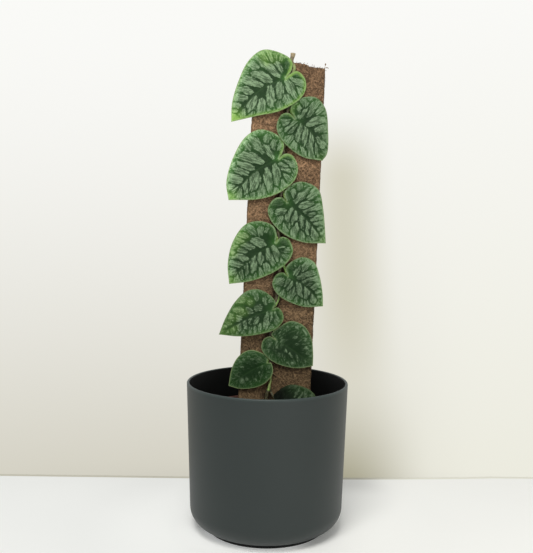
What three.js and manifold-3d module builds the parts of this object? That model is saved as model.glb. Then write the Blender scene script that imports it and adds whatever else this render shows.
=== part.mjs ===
// Potted shingle plant: ten heart-shaped leaves lie flat on a coir board that stands in a round pot.
// Millimetres, +Z up. The origin is the centre of the cover pot's flat base, and the viewer is at -Y.
import * as THREE from "three";
import { mergeVertices } from "three/addons/utils/BufferGeometryUtils.js";
import Module from "manifold-3d";

const wasm = await Module();
wasm.setup();

// Clearance between pieces that touch
const GAP = 0.3;

// Cover pot
const POT_HEIGHT = 170;
const POT_RIM_RADIUS = 91.5;
const POT_FOOT_RADIUS = 86.2;
const POT_EDGE_RADIUS = 24.5;
const POT_WALL = 3;
const POT_SIDES = 64;

// Nursery pot inside it
const NURSERY_HEIGHT = 134;
const NURSERY_RIM_RADIUS = 73.5;
const NURSERY_FOOT_RADIUS = 56;
const NURSERY_WALL = 1.6;
const NURSERY_LIP = 1.8;
const NURSERY_LIP_HEIGHT = 9;
const NURSERY_SIDES = 48;
const DRAIN_HOLES = 6;
const DRAIN_HOLE_RADIUS = 5;
const DRAIN_CIRCLE_RADIUS = 45;

// Potting mix
const MIX_BELOW_LIP = 16;
const MIX_RINGS = 6;
const LUMP_HEIGHT = 1.3;
const LUMP_SPACING = 20;

// Coir board, in its own frame: across to the right, along up its length, out towards the viewer
const BOARD_WIDTH = 82;
const BOARD_THICKNESS = 15;
const BOARD_FOOT = 2;
const BOARD_LEFT_TOP = 533;
const BOARD_RIGHT_TOP = 526.8;
const BOARD_ROUNDING = 1.5;
const FRAY_STEPS = 16;
const FRAY_HEIGHT = 1.1;
const LEAN_BACK = THREE.MathUtils.degToRad(5);
const LEAN_RIGHT = THREE.MathUtils.degToRad(2);
const BOARD_PLACE = new THREE.Vector3(2.8, -22.6, 6);

// Vine
const STEM_RADIUS = 1.9;
const NODE_SWELLING = 0.4;
const NODE_REACH = 5;
const STEM_OUT = GAP + STEM_RADIUS + NODE_SWELLING;
const STEM_STEP = 9;
const CUT_TOP_RADIUS = 2.9;
const CUT_TOP = [3, 540.5];
const STEM_FOOT = [[-5.2, 168], [-6.3, 160], [-8.6, 150], [-9.5, 135], [-9.5, 75]];
const PETIOLE_WIDTH = 3.2;
const PETIOLE_DEPTH = 2;
const PETIOLE_ELBOW_OUT = 1.9;
const PETIOLE_STEPS = 6;
const PETIOLE_TAPER = 0.1;
const ROOTS_PER_LEAF = 3;
const ROOT_SPACING = 6;
const ROOT_REACH = 10;
const ROOT_REACH_SPREAD = 0.4;
const ROOT_DROP = 5;
const ROOT_WIDTH = 1.4;
const ROOT_TAPER = 0.13;

// Leaf blades
const BLADE_THICKNESS = 0.8;
const BLADE_CLEARANCE = 0.5;
const BLADE_PROUD = 2.6;
const RIDGE_HEIGHT = 4.8;
const RIDGE_WIDTH = 13;
const ROWS = 14;
const FAN_ROWS = 6;
const REACH_STEPS = 4;
const VEIN_ARCH = 0.1;
const QUILT = 0.4;
const EDGE_STEPS = 8;

// Each leaf from the top down: node on the stem, bend of the petiole, notch, middle of the midrib and
// tip, then the margin from notch to tip over the upper half and over the lower half
const LEAVES = [
  {
    node: [1.5, 531], elbow: [5, 523.5], notch: [-4, 511.5], middle: [-32, 497.5], tip: [-63.7, 459.2],
    upper: [[2, 520.5], [2, 530], [-10, 538.5], [-30, 543], [-46, 530.5], [-56.5, 508], [-63, 481]],
    lower: [[1.5, 516.5], [8.5, 520], [17.5, 513], [19.5, 501], [12, 487], [-7, 474.5], [-32, 468]],
  },
  {
    node: [0.5, 486], elbow: [2.8, 477], notch: [8.8, 466], middle: [28, 452], tip: [42, 419.8],
    upper: [[3.5, 476], [4.5, 482], [15, 490.5], [31, 492], [42.5, 480.5], [47, 455], [47, 428]],
    lower: [[1.5, 471.5], [-7, 469.5], [-12, 457], [-8, 444], [5, 431], [21, 422.5]],
  },
  {
    node: [-3, 447], elbow: [-2, 434], notch: [-7.5, 419.5], middle: [-33, 405], tip: [-62.5, 370],
    upper: [[-4.2, 428], [-4.5, 438], [-15, 448], [-31, 452], [-46.5, 443.5], [-60, 418], [-66, 390]],
    lower: [[-1.5, 425], [7, 424.5], [14.5, 412], [12, 397], [-3, 382], [-27, 373]],
  },
  {
    node: [-2, 392], elbow: [-0.5, 382], notch: [4.1, 370.2], middle: [28, 352], tip: [50.3, 326],
    upper: [[0.5, 380.5], [5, 388], [16, 394.8], [29, 393.5], [40, 386], [45.5, 366], [49, 340]],
    lower: [[-2, 375.5], [-11, 373.5], [-17.5, 361], [-12, 347], [3, 333.5], [25, 326]],
  },
  {
    node: [-6, 351], elbow: [-3.5, 337], notch: [-6.5, 324.3], middle: [-34, 305], tip: [-57.3, 274.6],
    upper: [[-6, 333], [-10, 342.5], [-26, 348], [-42.5, 343], [-55.5, 323], [-60, 298]],
    lower: [[-1, 330.5], [7, 329.5], [13.5, 316], [7.5, 302], [-8, 290], [-32, 279.5]],
  },
  {
    node: [0, 308], elbow: [4.5, 297], notch: [9.3, 286.6], middle: [30, 276], tip: [50.5, 254.3],
    upper: [[6, 295], [11, 302.3], [25, 309.2], [38.3, 304], [44.8, 290], [49.6, 268]],
    lower: [[3.5, 290.5], [-4, 288], [-8.3, 277.5], [-2, 265.7], [12, 257.5], [30, 252.7]],
  },
  {
    node: [-2, 272], elbow: [-0.5, 261], notch: [-6.1, 248.4], middle: [-33, 237], tip: [-66, 217],
    upper: [[-3.5, 256], [-10, 264], [-23, 270], [-37, 267.5], [-49.5, 255], [-59.5, 236]],
    lower: [[-1, 252], [5, 249.3], [7.5, 239], [0, 227.8], [-18, 220], [-42, 216]],
    proud: 6.5,
  },
  {
    node: [-6, 236], elbow: [-5, 224], notch: [-1.2, 214.1], middle: [22, 201], tip: [42.3, 186],
    upper: [[-6.5, 220], [2, 228.5], [15, 235.8], [30, 231], [39, 218], [42, 200]],
    lower: [[-8, 217.5], [-15, 214], [-17, 203], [-8, 192], [8, 184.7], [26, 182.7]],
  },
  {
    node: [-8, 208], elbow: [-7.5, 197], notch: [-9.8, 187.5], middle: [-28, 177], tip: [-52.6, 159],
    upper: [[-9.5, 194], [-19, 199], [-31, 200.3], [-42.5, 193], [-49.5, 180]],
    lower: [[-5.5, 187.5], [-3, 176.5], [-10, 165.3], [-23, 158.3], [-40, 156.3]],
  },
  {
    node: [-6.3, 160], elbow: [-3.5, 153], notch: [3, 145], middle: [24, 137], tip: [48, 128],
    upper: [[-1, 150.5], [4, 157], [17, 164], [32, 163], [43.5, 157], [48.5, 143]],
    lower: [[-3, 147], [-6.5, 141], [-5, 132], [6, 124], [24, 121.5]],
    proud: 24,
  },
];
LEAVES.forEach((leaf, i) => {
  leaf.name = "leaf_" + String(i + 1).padStart(2, "0");
  leaf.proud = leaf.proud ?? BLADE_PROUD;
  leaf.top = Math.max(...leaf.upper.map((point) => point[1]));
  leaf.bottom = Math.min(leaf.tip[1], ...leaf.lower.map((point) => point[1]));
});

// A repeatable number from 0 to 1 for each whole number
function draw(n) {
  const wave = Math.sin(n * 12.9898) * 43758.5453;
  return wave - Math.floor(wave);
}

// A closed geometry as a solid, for cutting and joining
function toSolid(geometry, matrix = new THREE.Matrix4()) {
  const bare = geometry.clone().applyMatrix4(matrix);
  bare.deleteAttribute("normal");
  bare.deleteAttribute("uv");
  const merged = mergeVertices(bare, 1e-3);
  return new wasm.Manifold(
    new wasm.Mesh({
      numProp: 3,
      vertProperties: merged.attributes.position.array,
      triVerts: new Uint32Array(merged.index.array),
    }),
  );
}

// A solid as a geometry that can be drawn
function toGeometry(solid) {
  const mesh = solid.getMesh();
  return new THREE.BufferGeometry()
    .setAttribute("position", new THREE.BufferAttribute(mesh.vertProperties, 3))
    .setIndex(new THREE.BufferAttribute(mesh.triVerts, 1));
}

function shown(name, geometry, color, roughness) {
  geometry.computeVertexNormals();
  const material = new THREE.MeshStandardMaterial({ color, roughness, metalness: 0 });
  const mesh = new THREE.Mesh(geometry, material);
  mesh.name = name;
  return mesh;
}

// A profile of radius and height turned about the vertical axis
function turned(path, roundSteps, sides) {
  return new THREE.LatheGeometry(path.getPoints(roundSteps), sides).rotateX(Math.PI / 2);
}

// Smooth line through points, as many steps as asked
function smooth(points, steps) {
  const through = points.map(([across, along, out = 0]) => new THREE.Vector3(across, along, out));
  return new THREE.CatmullRomCurve3(through, false, "centripetal").getSpacedPoints(steps);
}

function coverPot() {
  const rim = POT_WALL / 2;
  const flat = POT_FOOT_RADIUS - POT_EDGE_RADIUS;
  const path = new THREE.Path();
  path.moveTo(0, 0);
  path.lineTo(flat, 0);
  path.absarc(flat, POT_EDGE_RADIUS, POT_EDGE_RADIUS, -Math.PI / 2, 0, false);
  path.absarc(POT_RIM_RADIUS - rim, POT_HEIGHT - rim, rim, 0, Math.PI, false);
  path.absarc(flat, POT_EDGE_RADIUS, POT_EDGE_RADIUS - POT_WALL, 0, -Math.PI / 2, true);
  path.lineTo(0, POT_WALL);
  return shown("cover_pot", turned(path, 4, POT_SIDES), 0x3f4646, 0.55);
}

const NURSERY_FLOOR = POT_WALL + GAP;
const NURSERY_TOP = NURSERY_FLOOR + NURSERY_HEIGHT;

// Inner radius of the nursery pot's wall at a height
function nurseryInside(z) {
  const share = (z - NURSERY_FLOOR) / NURSERY_HEIGHT;
  return THREE.MathUtils.lerp(NURSERY_FOOT_RADIUS, NURSERY_RIM_RADIUS, share) - NURSERY_WALL;
}

function nurseryPot() {
  const lipBottom = NURSERY_TOP - NURSERY_LIP_HEIGHT;
  const path = new THREE.Path();
  path.moveTo(0, NURSERY_FLOOR);
  path.lineTo(NURSERY_FOOT_RADIUS, NURSERY_FLOOR);
  path.lineTo(nurseryInside(lipBottom) + NURSERY_WALL, lipBottom);
  path.lineTo(nurseryInside(lipBottom) + NURSERY_WALL + NURSERY_LIP, lipBottom);
  path.lineTo(NURSERY_RIM_RADIUS + NURSERY_LIP, NURSERY_TOP);
  path.lineTo(NURSERY_RIM_RADIUS - NURSERY_WALL, NURSERY_TOP);
  path.lineTo(nurseryInside(NURSERY_FLOOR + NURSERY_WALL), NURSERY_FLOOR + NURSERY_WALL);
  path.lineTo(0, NURSERY_FLOOR + NURSERY_WALL);
  let pot = toSolid(turned(path, 1, NURSERY_SIDES));
  const drain = new THREE.CylinderGeometry(DRAIN_HOLE_RADIUS, DRAIN_HOLE_RADIUS, 4 * NURSERY_WALL, 12);
  drain.rotateX(Math.PI / 2);
  for (let i = 0; i < DRAIN_HOLES; i++) {
    const turn = (2 * Math.PI * i) / DRAIN_HOLES;
    const place = new THREE.Matrix4().makeTranslation(
      DRAIN_CIRCLE_RADIUS * Math.cos(turn),
      DRAIN_CIRCLE_RADIUS * Math.sin(turn),
      NURSERY_FLOOR,
    );
    pot = pot.subtract(toSolid(drain, place));
  }
  return shown("nursery_pot", toGeometry(pot), 0x7a4a38, 0.6);
}

// A rod through points whose section is as wide and as deep as given at each point
function rod(points, widths, depths, sides) {
  const positions = [];
  const triangles = [];
  const outwards = new THREE.Vector3(0, 0, 1);
  points.forEach((point, i) => {
    const before = points[Math.max(i - 1, 0)];
    const after = points[Math.min(i + 1, points.length - 1)];
    const forward = after.clone().sub(before).normalize();
    const sideways = forward.clone().cross(outwards).normalize();
    const upwards = sideways.clone().cross(forward);
    for (let k = 0; k < sides; k++) {
      const turn = (2 * Math.PI * k) / sides;
      const corner = point.clone();
      corner.addScaledVector(sideways, (widths[i] / 2) * Math.cos(turn));
      corner.addScaledVector(upwards, (depths[i] / 2) * Math.sin(turn));
      positions.push(...corner.toArray());
    }
  });
  for (let i = 0; i + 1 < points.length; i++) {
    for (let k = 0; k < sides; k++) {
      const a = i * sides + k;
      const b = i * sides + ((k + 1) % sides);
      triangles.push(a, b + sides, b, a, a + sides, b + sides);
    }
  }
  const last = (points.length - 1) * sides;
  for (let k = 1; k + 1 < sides; k++) {
    triangles.push(0, k, k + 1, last, last + k + 1, last + k);
  }
  return new THREE.BufferGeometry()
    .setAttribute("position", new THREE.Float32BufferAttribute(positions, 3))
    .setIndex(triangles);
}

const STEM_LINE = [CUT_TOP, ...LEAVES.slice(0, -1).map((leaf) => leaf.node), ...STEM_FOOT];

// How far across the stem lies at a height along the board
function stemAcross(along) {
  const next = STEM_LINE.findIndex((point) => point[1] < along);
  if (next === 0) return STEM_LINE[0][0];
  if (next < 0) return STEM_LINE.at(-1)[0];
  const [from, to] = [STEM_LINE[next - 1], STEM_LINE[next]];
  return from[0] + (to[0] - from[0]) * THREE.MathUtils.smoothstep(from[1] - along, 0, from[1] - to[1]);
}

// Stem radius at a height: swollen at each node and where the top was cut
function stemRadius(along) {
  const nearest = Math.min(...LEAVES.map((leaf) => Math.abs(leaf.node[1] - along)));
  const swelling = NODE_SWELLING * Math.exp(-((nearest / NODE_REACH) ** 2));
  const flare = THREE.MathUtils.smoothstep(along, CUT_TOP[1] - 8, CUT_TOP[1]);
  return THREE.MathUtils.lerp(STEM_RADIUS + swelling, CUT_TOP_RADIUS, flare);
}

function stemPoints(high, low) {
  const steps = Math.ceil((high - low) / STEM_STEP);
  return Array.from({ length: steps + 1 }, (_, i) => {
    const along = high + ((low - high) * i) / steps;
    return new THREE.Vector3(stemAcross(along), along, STEM_OUT);
  });
}

function stemRod(high, low, extra) {
  const points = stemPoints(high, low);
  const widths = points.map((point) => 2 * (stemRadius(point.y) + extra));
  return rod(points, widths, widths, 8);
}

// Height of a blade's back over the board: it clears the stem in a ridge and rises to its lower margin
function bladeBack(leaf, across, along) {
  const down = THREE.MathUtils.clamp((leaf.top - along) / (leaf.top - leaf.bottom), 0, 1);
  const beside = (across - stemAcross(along)) / RIDGE_WIDTH;
  return BLADE_CLEARANCE + leaf.proud * down + RIDGE_HEIGHT * Math.exp(-beside * beside);
}

function petiole(leaf) {
  const end = bladeBack(leaf, ...leaf.notch) - GAP - PETIOLE_DEPTH / 2;
  const points = smooth(
    [[...leaf.node, STEM_OUT], [...leaf.elbow, PETIOLE_ELBOW_OUT], [...leaf.notch, end]],
    PETIOLE_STEPS,
  );
  const widths = points.map((_, i) => PETIOLE_WIDTH - PETIOLE_TAPER * i);
  const depths = points.map(() => PETIOLE_DEPTH);
  return rod(points, widths, depths, 6);
}

// A short root that clasps the board's face beside the stem, on the side given as -1 or 1
function root(along, side, n) {
  const across = stemAcross(along);
  const reach = side * ROOT_REACH * (1 - ROOT_REACH_SPREAD * draw(n));
  const drop = ROOT_DROP * draw(n + LEAVES.length * ROOTS_PER_LEAF);
  const rest = GAP + ROOT_WIDTH / 2;
  const points = smooth(
    [
      [across, along, STEM_OUT],
      [across + reach / 2, along - drop / 4, rest],
      [across + reach, along - drop, rest],
    ],
    4,
  );
  const widths = points.map((_, i) => ROOT_WIDTH * (1 - ROOT_TAPER * i));
  return rod(points, widths, widths, 5);
}

function vine() {
  let solid = toSolid(stemRod(CUT_TOP[1], STEM_FOOT.at(-1)[1], 0));
  LEAVES.forEach((leaf, i) => {
    solid = solid.add(toSolid(petiole(leaf)));
    for (let k = 0; k < ROOTS_PER_LEAF; k++) {
      const along = leaf.notch[1] - ROOT_SPACING * k;
      solid = solid.add(toSolid(root(along, k % 2 === 0 ? 1 : -1, i * ROOTS_PER_LEAF + k)));
    }
  });
  return shown("vine_stem", toGeometry(solid), 0x6f7d45, 0.6);
}

// Front outline of the board, with its frayed top edge
function coirBoard() {
  const half = BOARD_WIDTH / 2;
  const shape = new THREE.Shape();
  shape.moveTo(-half, BOARD_FOOT);
  shape.lineTo(half, BOARD_FOOT);
  for (let i = 0; i <= FRAY_STEPS; i++) {
    const share = i / FRAY_STEPS;
    const top = THREE.MathUtils.lerp(BOARD_RIGHT_TOP, BOARD_LEFT_TOP, share);
    shape.lineTo(half - BOARD_WIDTH * share, top + FRAY_HEIGHT * (draw(i + 3) - 0.5));
  }
  const geometry = new THREE.ExtrudeGeometry(shape, {
    depth: BOARD_THICKNESS - 2 * BOARD_ROUNDING,
    bevelThickness: BOARD_ROUNDING,
    bevelSize: BOARD_ROUNDING,
    bevelOffset: -BOARD_ROUNDING,
    bevelSegments: 2,
  });
  geometry.translate(0, 0, BOARD_ROUNDING - BOARD_THICKNESS);
  return shown("coir_board", geometry, 0x7a624b, 0.95);
}

// One half of a blade: rows of points that run from the midrib out to the margin along the veins
function halfBlade(leaf, margin) {
  const edge = smooth([leaf.notch, ...margin, leaf.tip], ROWS * EDGE_STEPS);
  const midrib = smooth([leaf.notch, leaf.middle, leaf.tip], ROWS - FAN_ROWS);
  const axis = midrib.at(-1).clone().sub(midrib[0]).normalize();
  return Array.from({ length: ROWS }, (_, i) => {
    const row = i + 1;
    const start = midrib[Math.max(0, row - FAN_ROWS)];
    const end = edge[row * EDGE_STEPS];
    const arch = row > 2 ? VEIN_ARCH * start.distanceTo(end) : 0;
    const bend = start.clone().lerp(end, 0.5).addScaledVector(axis, -arch);
    return new THREE.QuadraticBezierCurve3(start, bend, end).getPoints(REACH_STEPS);
  });
}

// Both faces of a blade are split into the same triangles, one blade thickness apart
function blade(leaf) {
  const backs = [];
  const ids = new Map();
  const idOf = (point, lift) => {
    const key = point.x.toFixed(3) + " " + point.y.toFixed(3);
    if (!ids.has(key)) {
      ids.set(key, backs.length);
      backs.push([point.x, point.y, bladeBack(leaf, point.x, point.y) + lift]);
    }
    return ids.get(key);
  };
  const faces = [];
  const rims = [];
  for (const margin of [leaf.upper, leaf.lower]) {
    const grid = halfBlade(leaf, margin).map((row, r) =>
      row.map((point, k) => {
        const swell = r % 2 === 0 ? QUILT * Math.sin((Math.PI * k) / REACH_STEPS) : 0;
        return idOf(point, swell);
      }),
    );
    rims.push([...grid[0], ...grid.slice(1).map((row) => row.at(-1))]);
    for (let r = 0; r + 1 < ROWS; r++) {
      for (let k = 0; k < REACH_STEPS; k++) {
        const [a, b, c, d] = [grid[r][k], grid[r][k + 1], grid[r + 1][k + 1], grid[r + 1][k]];
        faces.push([a, b, c], [a, c, d]);
      }
    }
  }
  const turns = ([a, b, c]) =>
    (backs[b][0] - backs[a][0]) * (backs[c][1] - backs[a][1]) -
    (backs[b][1] - backs[a][1]) * (backs[c][0] - backs[a][0]);
  const whole = faces.filter(([a, b, c]) => a !== b && b !== c && a !== c);
  const count = backs.length;
  const triangles = [];
  for (const face of whole) {
    const [a, b, c] = turns(face) > 0 ? face : [face[0], face[2], face[1]];
    triangles.push(a + count, b + count, c + count, a, c, b);
  }
  const loop = [...rims[0], ...rims[1].slice(1, -1).reverse()];
  const round = loop.reduce((sum, a, i) => sum + turns([loop[0], a, loop[(i + 1) % loop.length]]), 0);
  if (round < 0) loop.reverse();
  loop.forEach((a, i) => {
    const b = loop[(i + 1) % loop.length];
    triangles.push(a, b, b + count, a, b + count, a + count);
  });
  const fronts = backs.map(([x, y, z]) => [x, y, z + BLADE_THICKNESS]);
  const geometry = new THREE.BufferGeometry()
    .setAttribute("position", new THREE.Float32BufferAttribute([...backs, ...fronts].flat(), 3))
    .setIndex(triangles);
  return shown(leaf.name, geometry, 0x4c7a4a, 0.5);
}

// The mix fills the nursery pot, with lumps on top, a slot for the board and a hole for the stem
function pottingMix(placed) {
  const low = NURSERY_FLOOR + NURSERY_WALL + GAP;
  const high = NURSERY_TOP - MIX_BELOW_LIP;
  const path = new THREE.Path();
  path.moveTo(0, low);
  path.lineTo(nurseryInside(low) - GAP, low);
  path.lineTo(nurseryInside(high) - GAP, high);
  for (let ring = MIX_RINGS - 1; ring >= 0; ring--) {
    path.lineTo(((nurseryInside(high) - 3) * ring) / MIX_RINGS, high);
  }
  const mix = turned(path, 1, NURSERY_SIDES);
  const position = mix.getAttribute("position");
  for (let i = 0; i < position.count; i++) {
    const [x, y, z] = [position.getX(i), position.getY(i), position.getZ(i)];
    const [u, v] = [(2 * Math.PI * x) / LUMP_SPACING, (2 * Math.PI * y) / LUMP_SPACING];
    const lump = Math.sin(u + 1) * Math.sin(v) + Math.sin(0.4 * u - 0.7 * v);
    if (z > high - GAP) position.setZ(i, z + LUMP_HEIGHT * lump);
  }
  const slot = new THREE.BoxGeometry(
    BOARD_WIDTH + 2 * GAP,
    BOARD_LEFT_TOP,
    BOARD_THICKNESS + 2 * GAP,
  );
  slot.translate(0, BOARD_LEFT_TOP / 2 - BOARD_FOOT, -BOARD_THICKNESS / 2);
  const hole = stemRod(STEM_FOOT[0][1], STEM_FOOT.at(-1)[1] - 2 * GAP, GAP);
  const solid = toSolid(mix).subtract(toSolid(slot, placed)).subtract(toSolid(hole, placed));
  return shown("potting_mix", toGeometry(solid), 0x2e2620, 0.95);
}

// The plant and its board share one leaning frame
const plant = new THREE.Group();
plant.position.copy(BOARD_PLACE);
plant.rotation.set(Math.PI / 2 - LEAN_BACK, 0, -LEAN_RIGHT);
plant.updateMatrixWorld(true);
plant.add(coirBoard(), vine(), ...LEAVES.map(blade));

const pottedPlant = new THREE.Group();
pottedPlant.add(coverPot(), nurseryPot(), pottingMix(plant.matrixWorld), plant);

export default pottedPlant;
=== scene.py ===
"""A potted shingle plant: ten leaves lie flat on a coir board that stands in a round pot."""

import math
import random

import bpy
import numpy as np
from bpy.props import FloatProperty, FloatVectorProperty, IntProperty, PointerProperty
from mathutils import Matrix, Vector, noise


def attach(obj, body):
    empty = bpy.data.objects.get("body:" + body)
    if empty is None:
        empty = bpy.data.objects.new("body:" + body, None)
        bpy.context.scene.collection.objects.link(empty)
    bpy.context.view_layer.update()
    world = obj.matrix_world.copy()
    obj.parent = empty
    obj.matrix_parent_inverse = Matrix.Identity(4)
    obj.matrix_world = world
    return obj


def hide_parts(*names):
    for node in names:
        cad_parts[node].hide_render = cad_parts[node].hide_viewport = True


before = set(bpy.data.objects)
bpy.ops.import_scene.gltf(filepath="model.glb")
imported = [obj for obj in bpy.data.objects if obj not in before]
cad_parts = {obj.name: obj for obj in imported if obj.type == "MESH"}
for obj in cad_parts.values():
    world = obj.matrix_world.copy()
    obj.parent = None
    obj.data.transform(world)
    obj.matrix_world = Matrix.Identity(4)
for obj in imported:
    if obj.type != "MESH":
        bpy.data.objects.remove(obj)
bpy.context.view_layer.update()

bl_info = {
    "name": "Potted shingle plant",
    "version": (1, 0, 0),
    "blender": (4, 5, 0),
    "location": "View3D > Sidebar > Shingle plant",
    "description": "Builds the pots, the coir board, the vine and its ten leaves over the packed model",
    "category": "Add Mesh",
}

# Lengths are in millimetres until a mesh is made
MM = 0.001

# Cover pot and nursery pot, as in the part's source
POT_HEIGHT = 170
POT_RIM_RADIUS = 91.5
POT_FOOT_RADIUS = 86.2
POT_EDGE_RADIUS = 24.5
POT_WALL = 3
NURSERY_FLOOR = 3.3
NURSERY_TOP = 137.3
NURSERY_RIM_RADIUS = 73.5
NURSERY_FOOT_RADIUS = 56
NURSERY_WALL = 1.6
NURSERY_LIP = 1.8
NURSERY_LIP_HEIGHT = 9
DRAIN_HOLES = 6
DRAIN_HOLE_RADIUS = 5
DRAIN_CIRCLE_RADIUS = 45

# The finer nursery pot: the sides of its drain holes and the heights between which they are cut, the faces
# round it, and the small bevels at its edges and at its foot
DRAIN_SIDES = 24
DRAIN_CUT = (1, 8)
NURSERY_SIDES = 96
NURSERY_EDGE = 0.5
NURSERY_BEVEL = 1

# The finer cover pot: how far it stands proud of the solid at the rim and at the foot, the radius of its
# rounded base edge, the gap under that edge and the stand inside it, painted near-black as shade
POT_PROUD = 0.8
POT_FOOT_PROUD = 1.8
POT_ROUNDING = 23
POT_FOOT_GAP = 3.6
POT_STAND_RADIUS = 68.6
POT_STAND_EDGE = 0.5
POT_WALL_STEPS = 24

# Heights in metres between which the cover pot's wall gets a painted highlight at the rim and painted shade
# at the foot
RIM_PAINTED_HIGHLIGHT = (0.1665, 0.169)
FOOT_SHADE = (0.012, 0.005)

# Potting mix, its crumbs, the slot for the board, and the gap between pieces that touch
MIX_LOW = 5.2
MIX_HIGH = 121.3
MIX_RINGS = 40
MIX_SIDES = 120
MIX_CLEARANCE = 0.6
MIX_EDGE_DROP = 1.5
CRUMB_CLEARANCE = 4
CRUMB_SIZES = (0.7, 2.4)
CRUMB_CORNERS = 6
SLOT_FOOT = -4
GAP = 0.3

# Coir board, in its own frame: across to the right, along up its length, out towards the viewer
BOARD_WIDTH = 82
BOARD_THICKNESS = 15
BOARD_FOOT = 2
BOARD_LEFT_TOP = 533
BOARD_RIGHT_TOP = 526.8
BOARD_ROUNDING = 1.5
BOARD_CELLS = (56, 10, 270)
BOARD_ROUGHNESS = 0.3
TOP_STEP = (24, 16)
TOP_STEP_HEIGHT = 2.4
FIBRE_STEPS = 5
FRAY_STEPS = 4

# The two loose bits at the board's right top corner: the points of a rod and its width at each
CORNER_CRUMB = (
    [(39.2, 525.5, -3), (40.2, 528.4, -2.6), (40.6, 530.2, -2.4), (40.8, 531.4, -2.3), (40.9, 532.2, -2.3)],
    [0.25, 0.25, 0.9, 1.7, 0.6],
)
CORNER_WISP = (
    [(39, 526.2, -2), (41, 527, -1.8), (42.6, 527.2, -1.6), (43.8, 526.8, -1.4), (44.4, 526.2, -1.4)],
    [0.5, 0.7, 0.9, 0.8, 0.3],
)
BOARD_AT = (2.8, -22.6, 6)
BOARD_LEAN = 85
BOARD_TILT = -2
BOARD_PLACE = (
    Matrix.Translation(BOARD_AT)
    @ Matrix.Rotation(math.radians(BOARD_LEAN), 4, "X")
    @ Matrix.Rotation(math.radians(BOARD_TILT), 4, "Z")
)
BOARD_FACING = BOARD_PLACE.to_3x3() @ Vector((0, 0, 1))

# Vine: how thick it is, its rings at the nodes, its cut top, its foot, and the stretches that are pale
STEM_RADIUS = 1.9
NODE_SWELLING = 0.4
NODE_REACH = 5
NODE_RING = 0.12
NODE_RING_REACH = 1.1
STEM_OUT = 2.6
CUT_TOP_RADIUS = 2.9
CUT_TOP = (3, 540.5)
CUT_FLARE = 8
STEM_STEP = 1.5
STEM_SIDES = 18
STEM_FOOT = ((-5.2, 168), (-6.3, 160), (-8.6, 150), (-9.5, 135), (-9.5, 75))
PALE_TOP = (527, 532)
STEM_HOLE = (170, 150, 140, 130, 110, 90, 74)
PALE_FOOT = ((154, 158), (176, 170))
PETIOLE_WIDTH = 3.2
PETIOLE_TAPER = 0.6
PETIOLE_STEPS = 20
PETIOLE_DEPTH = 2
PETIOLE_ELBOW_OUT = 1.9
ROOTS_PER_LEAF = 3
ROOT_SPACING = 6
ROOT_REACH = 10
ROOT_DROP = 5
ROOT_WIDTH = 1.4
ROOT_STEPS = 10
ROOT_TAPER = 0.06

# Leaf blades: form, the grid of corners, the numbers for the shaders, and the panels between the veins
BLADE_CLEARANCE = 0.5
BLADE_THICKNESS = 0.8
RIDGE_HEIGHT = 4.8
RIDGE_WIDTH = 13
ROWS = 14
FAN_ROWS = 6
FINER = 11
REACH_STEPS = 40
STRAND_SHARES = [t / 6 for t in range(7)]
FAR = 60.0
LEAF_MAPS = ("panel", "streak", "rib", "tint", "lit")
RIM_NUMBERS = ((-0.3, 0.0), (0.0, 0.0), (3.0, 0.0), (0.3, 0.0), (0.5, 0.0))
VEIN_HALF_WIDTH = 0.95
DARK_GROWTH = 0.3
SMALL_DARK = dict(half_length=(0.7, 1.3), width=(0.4, 1), tone=(0.15, 0.5), spacing=3.4)
SMALL_LIGHT = dict(half_length=(1.2, 2), width=(0.8, 1.8), tone=(0.5, 0.75), spacing=3.8)
SMALL_INSET = 3.6
SMALL_CLEAR = 1.3
SMALL_OUTS = (0.2, 0.34, 0.48, 0.62, 0.76, 0.9)
YOUNG_TIP = 19
BRIGHT_TIP = 13
NOTCH_GLOW = 5
VEIN_ARCH = 0.1
DEEPEST = -0.25

# The shaders of the board and the leaves get their distances in centimetres
CM = 10
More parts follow.
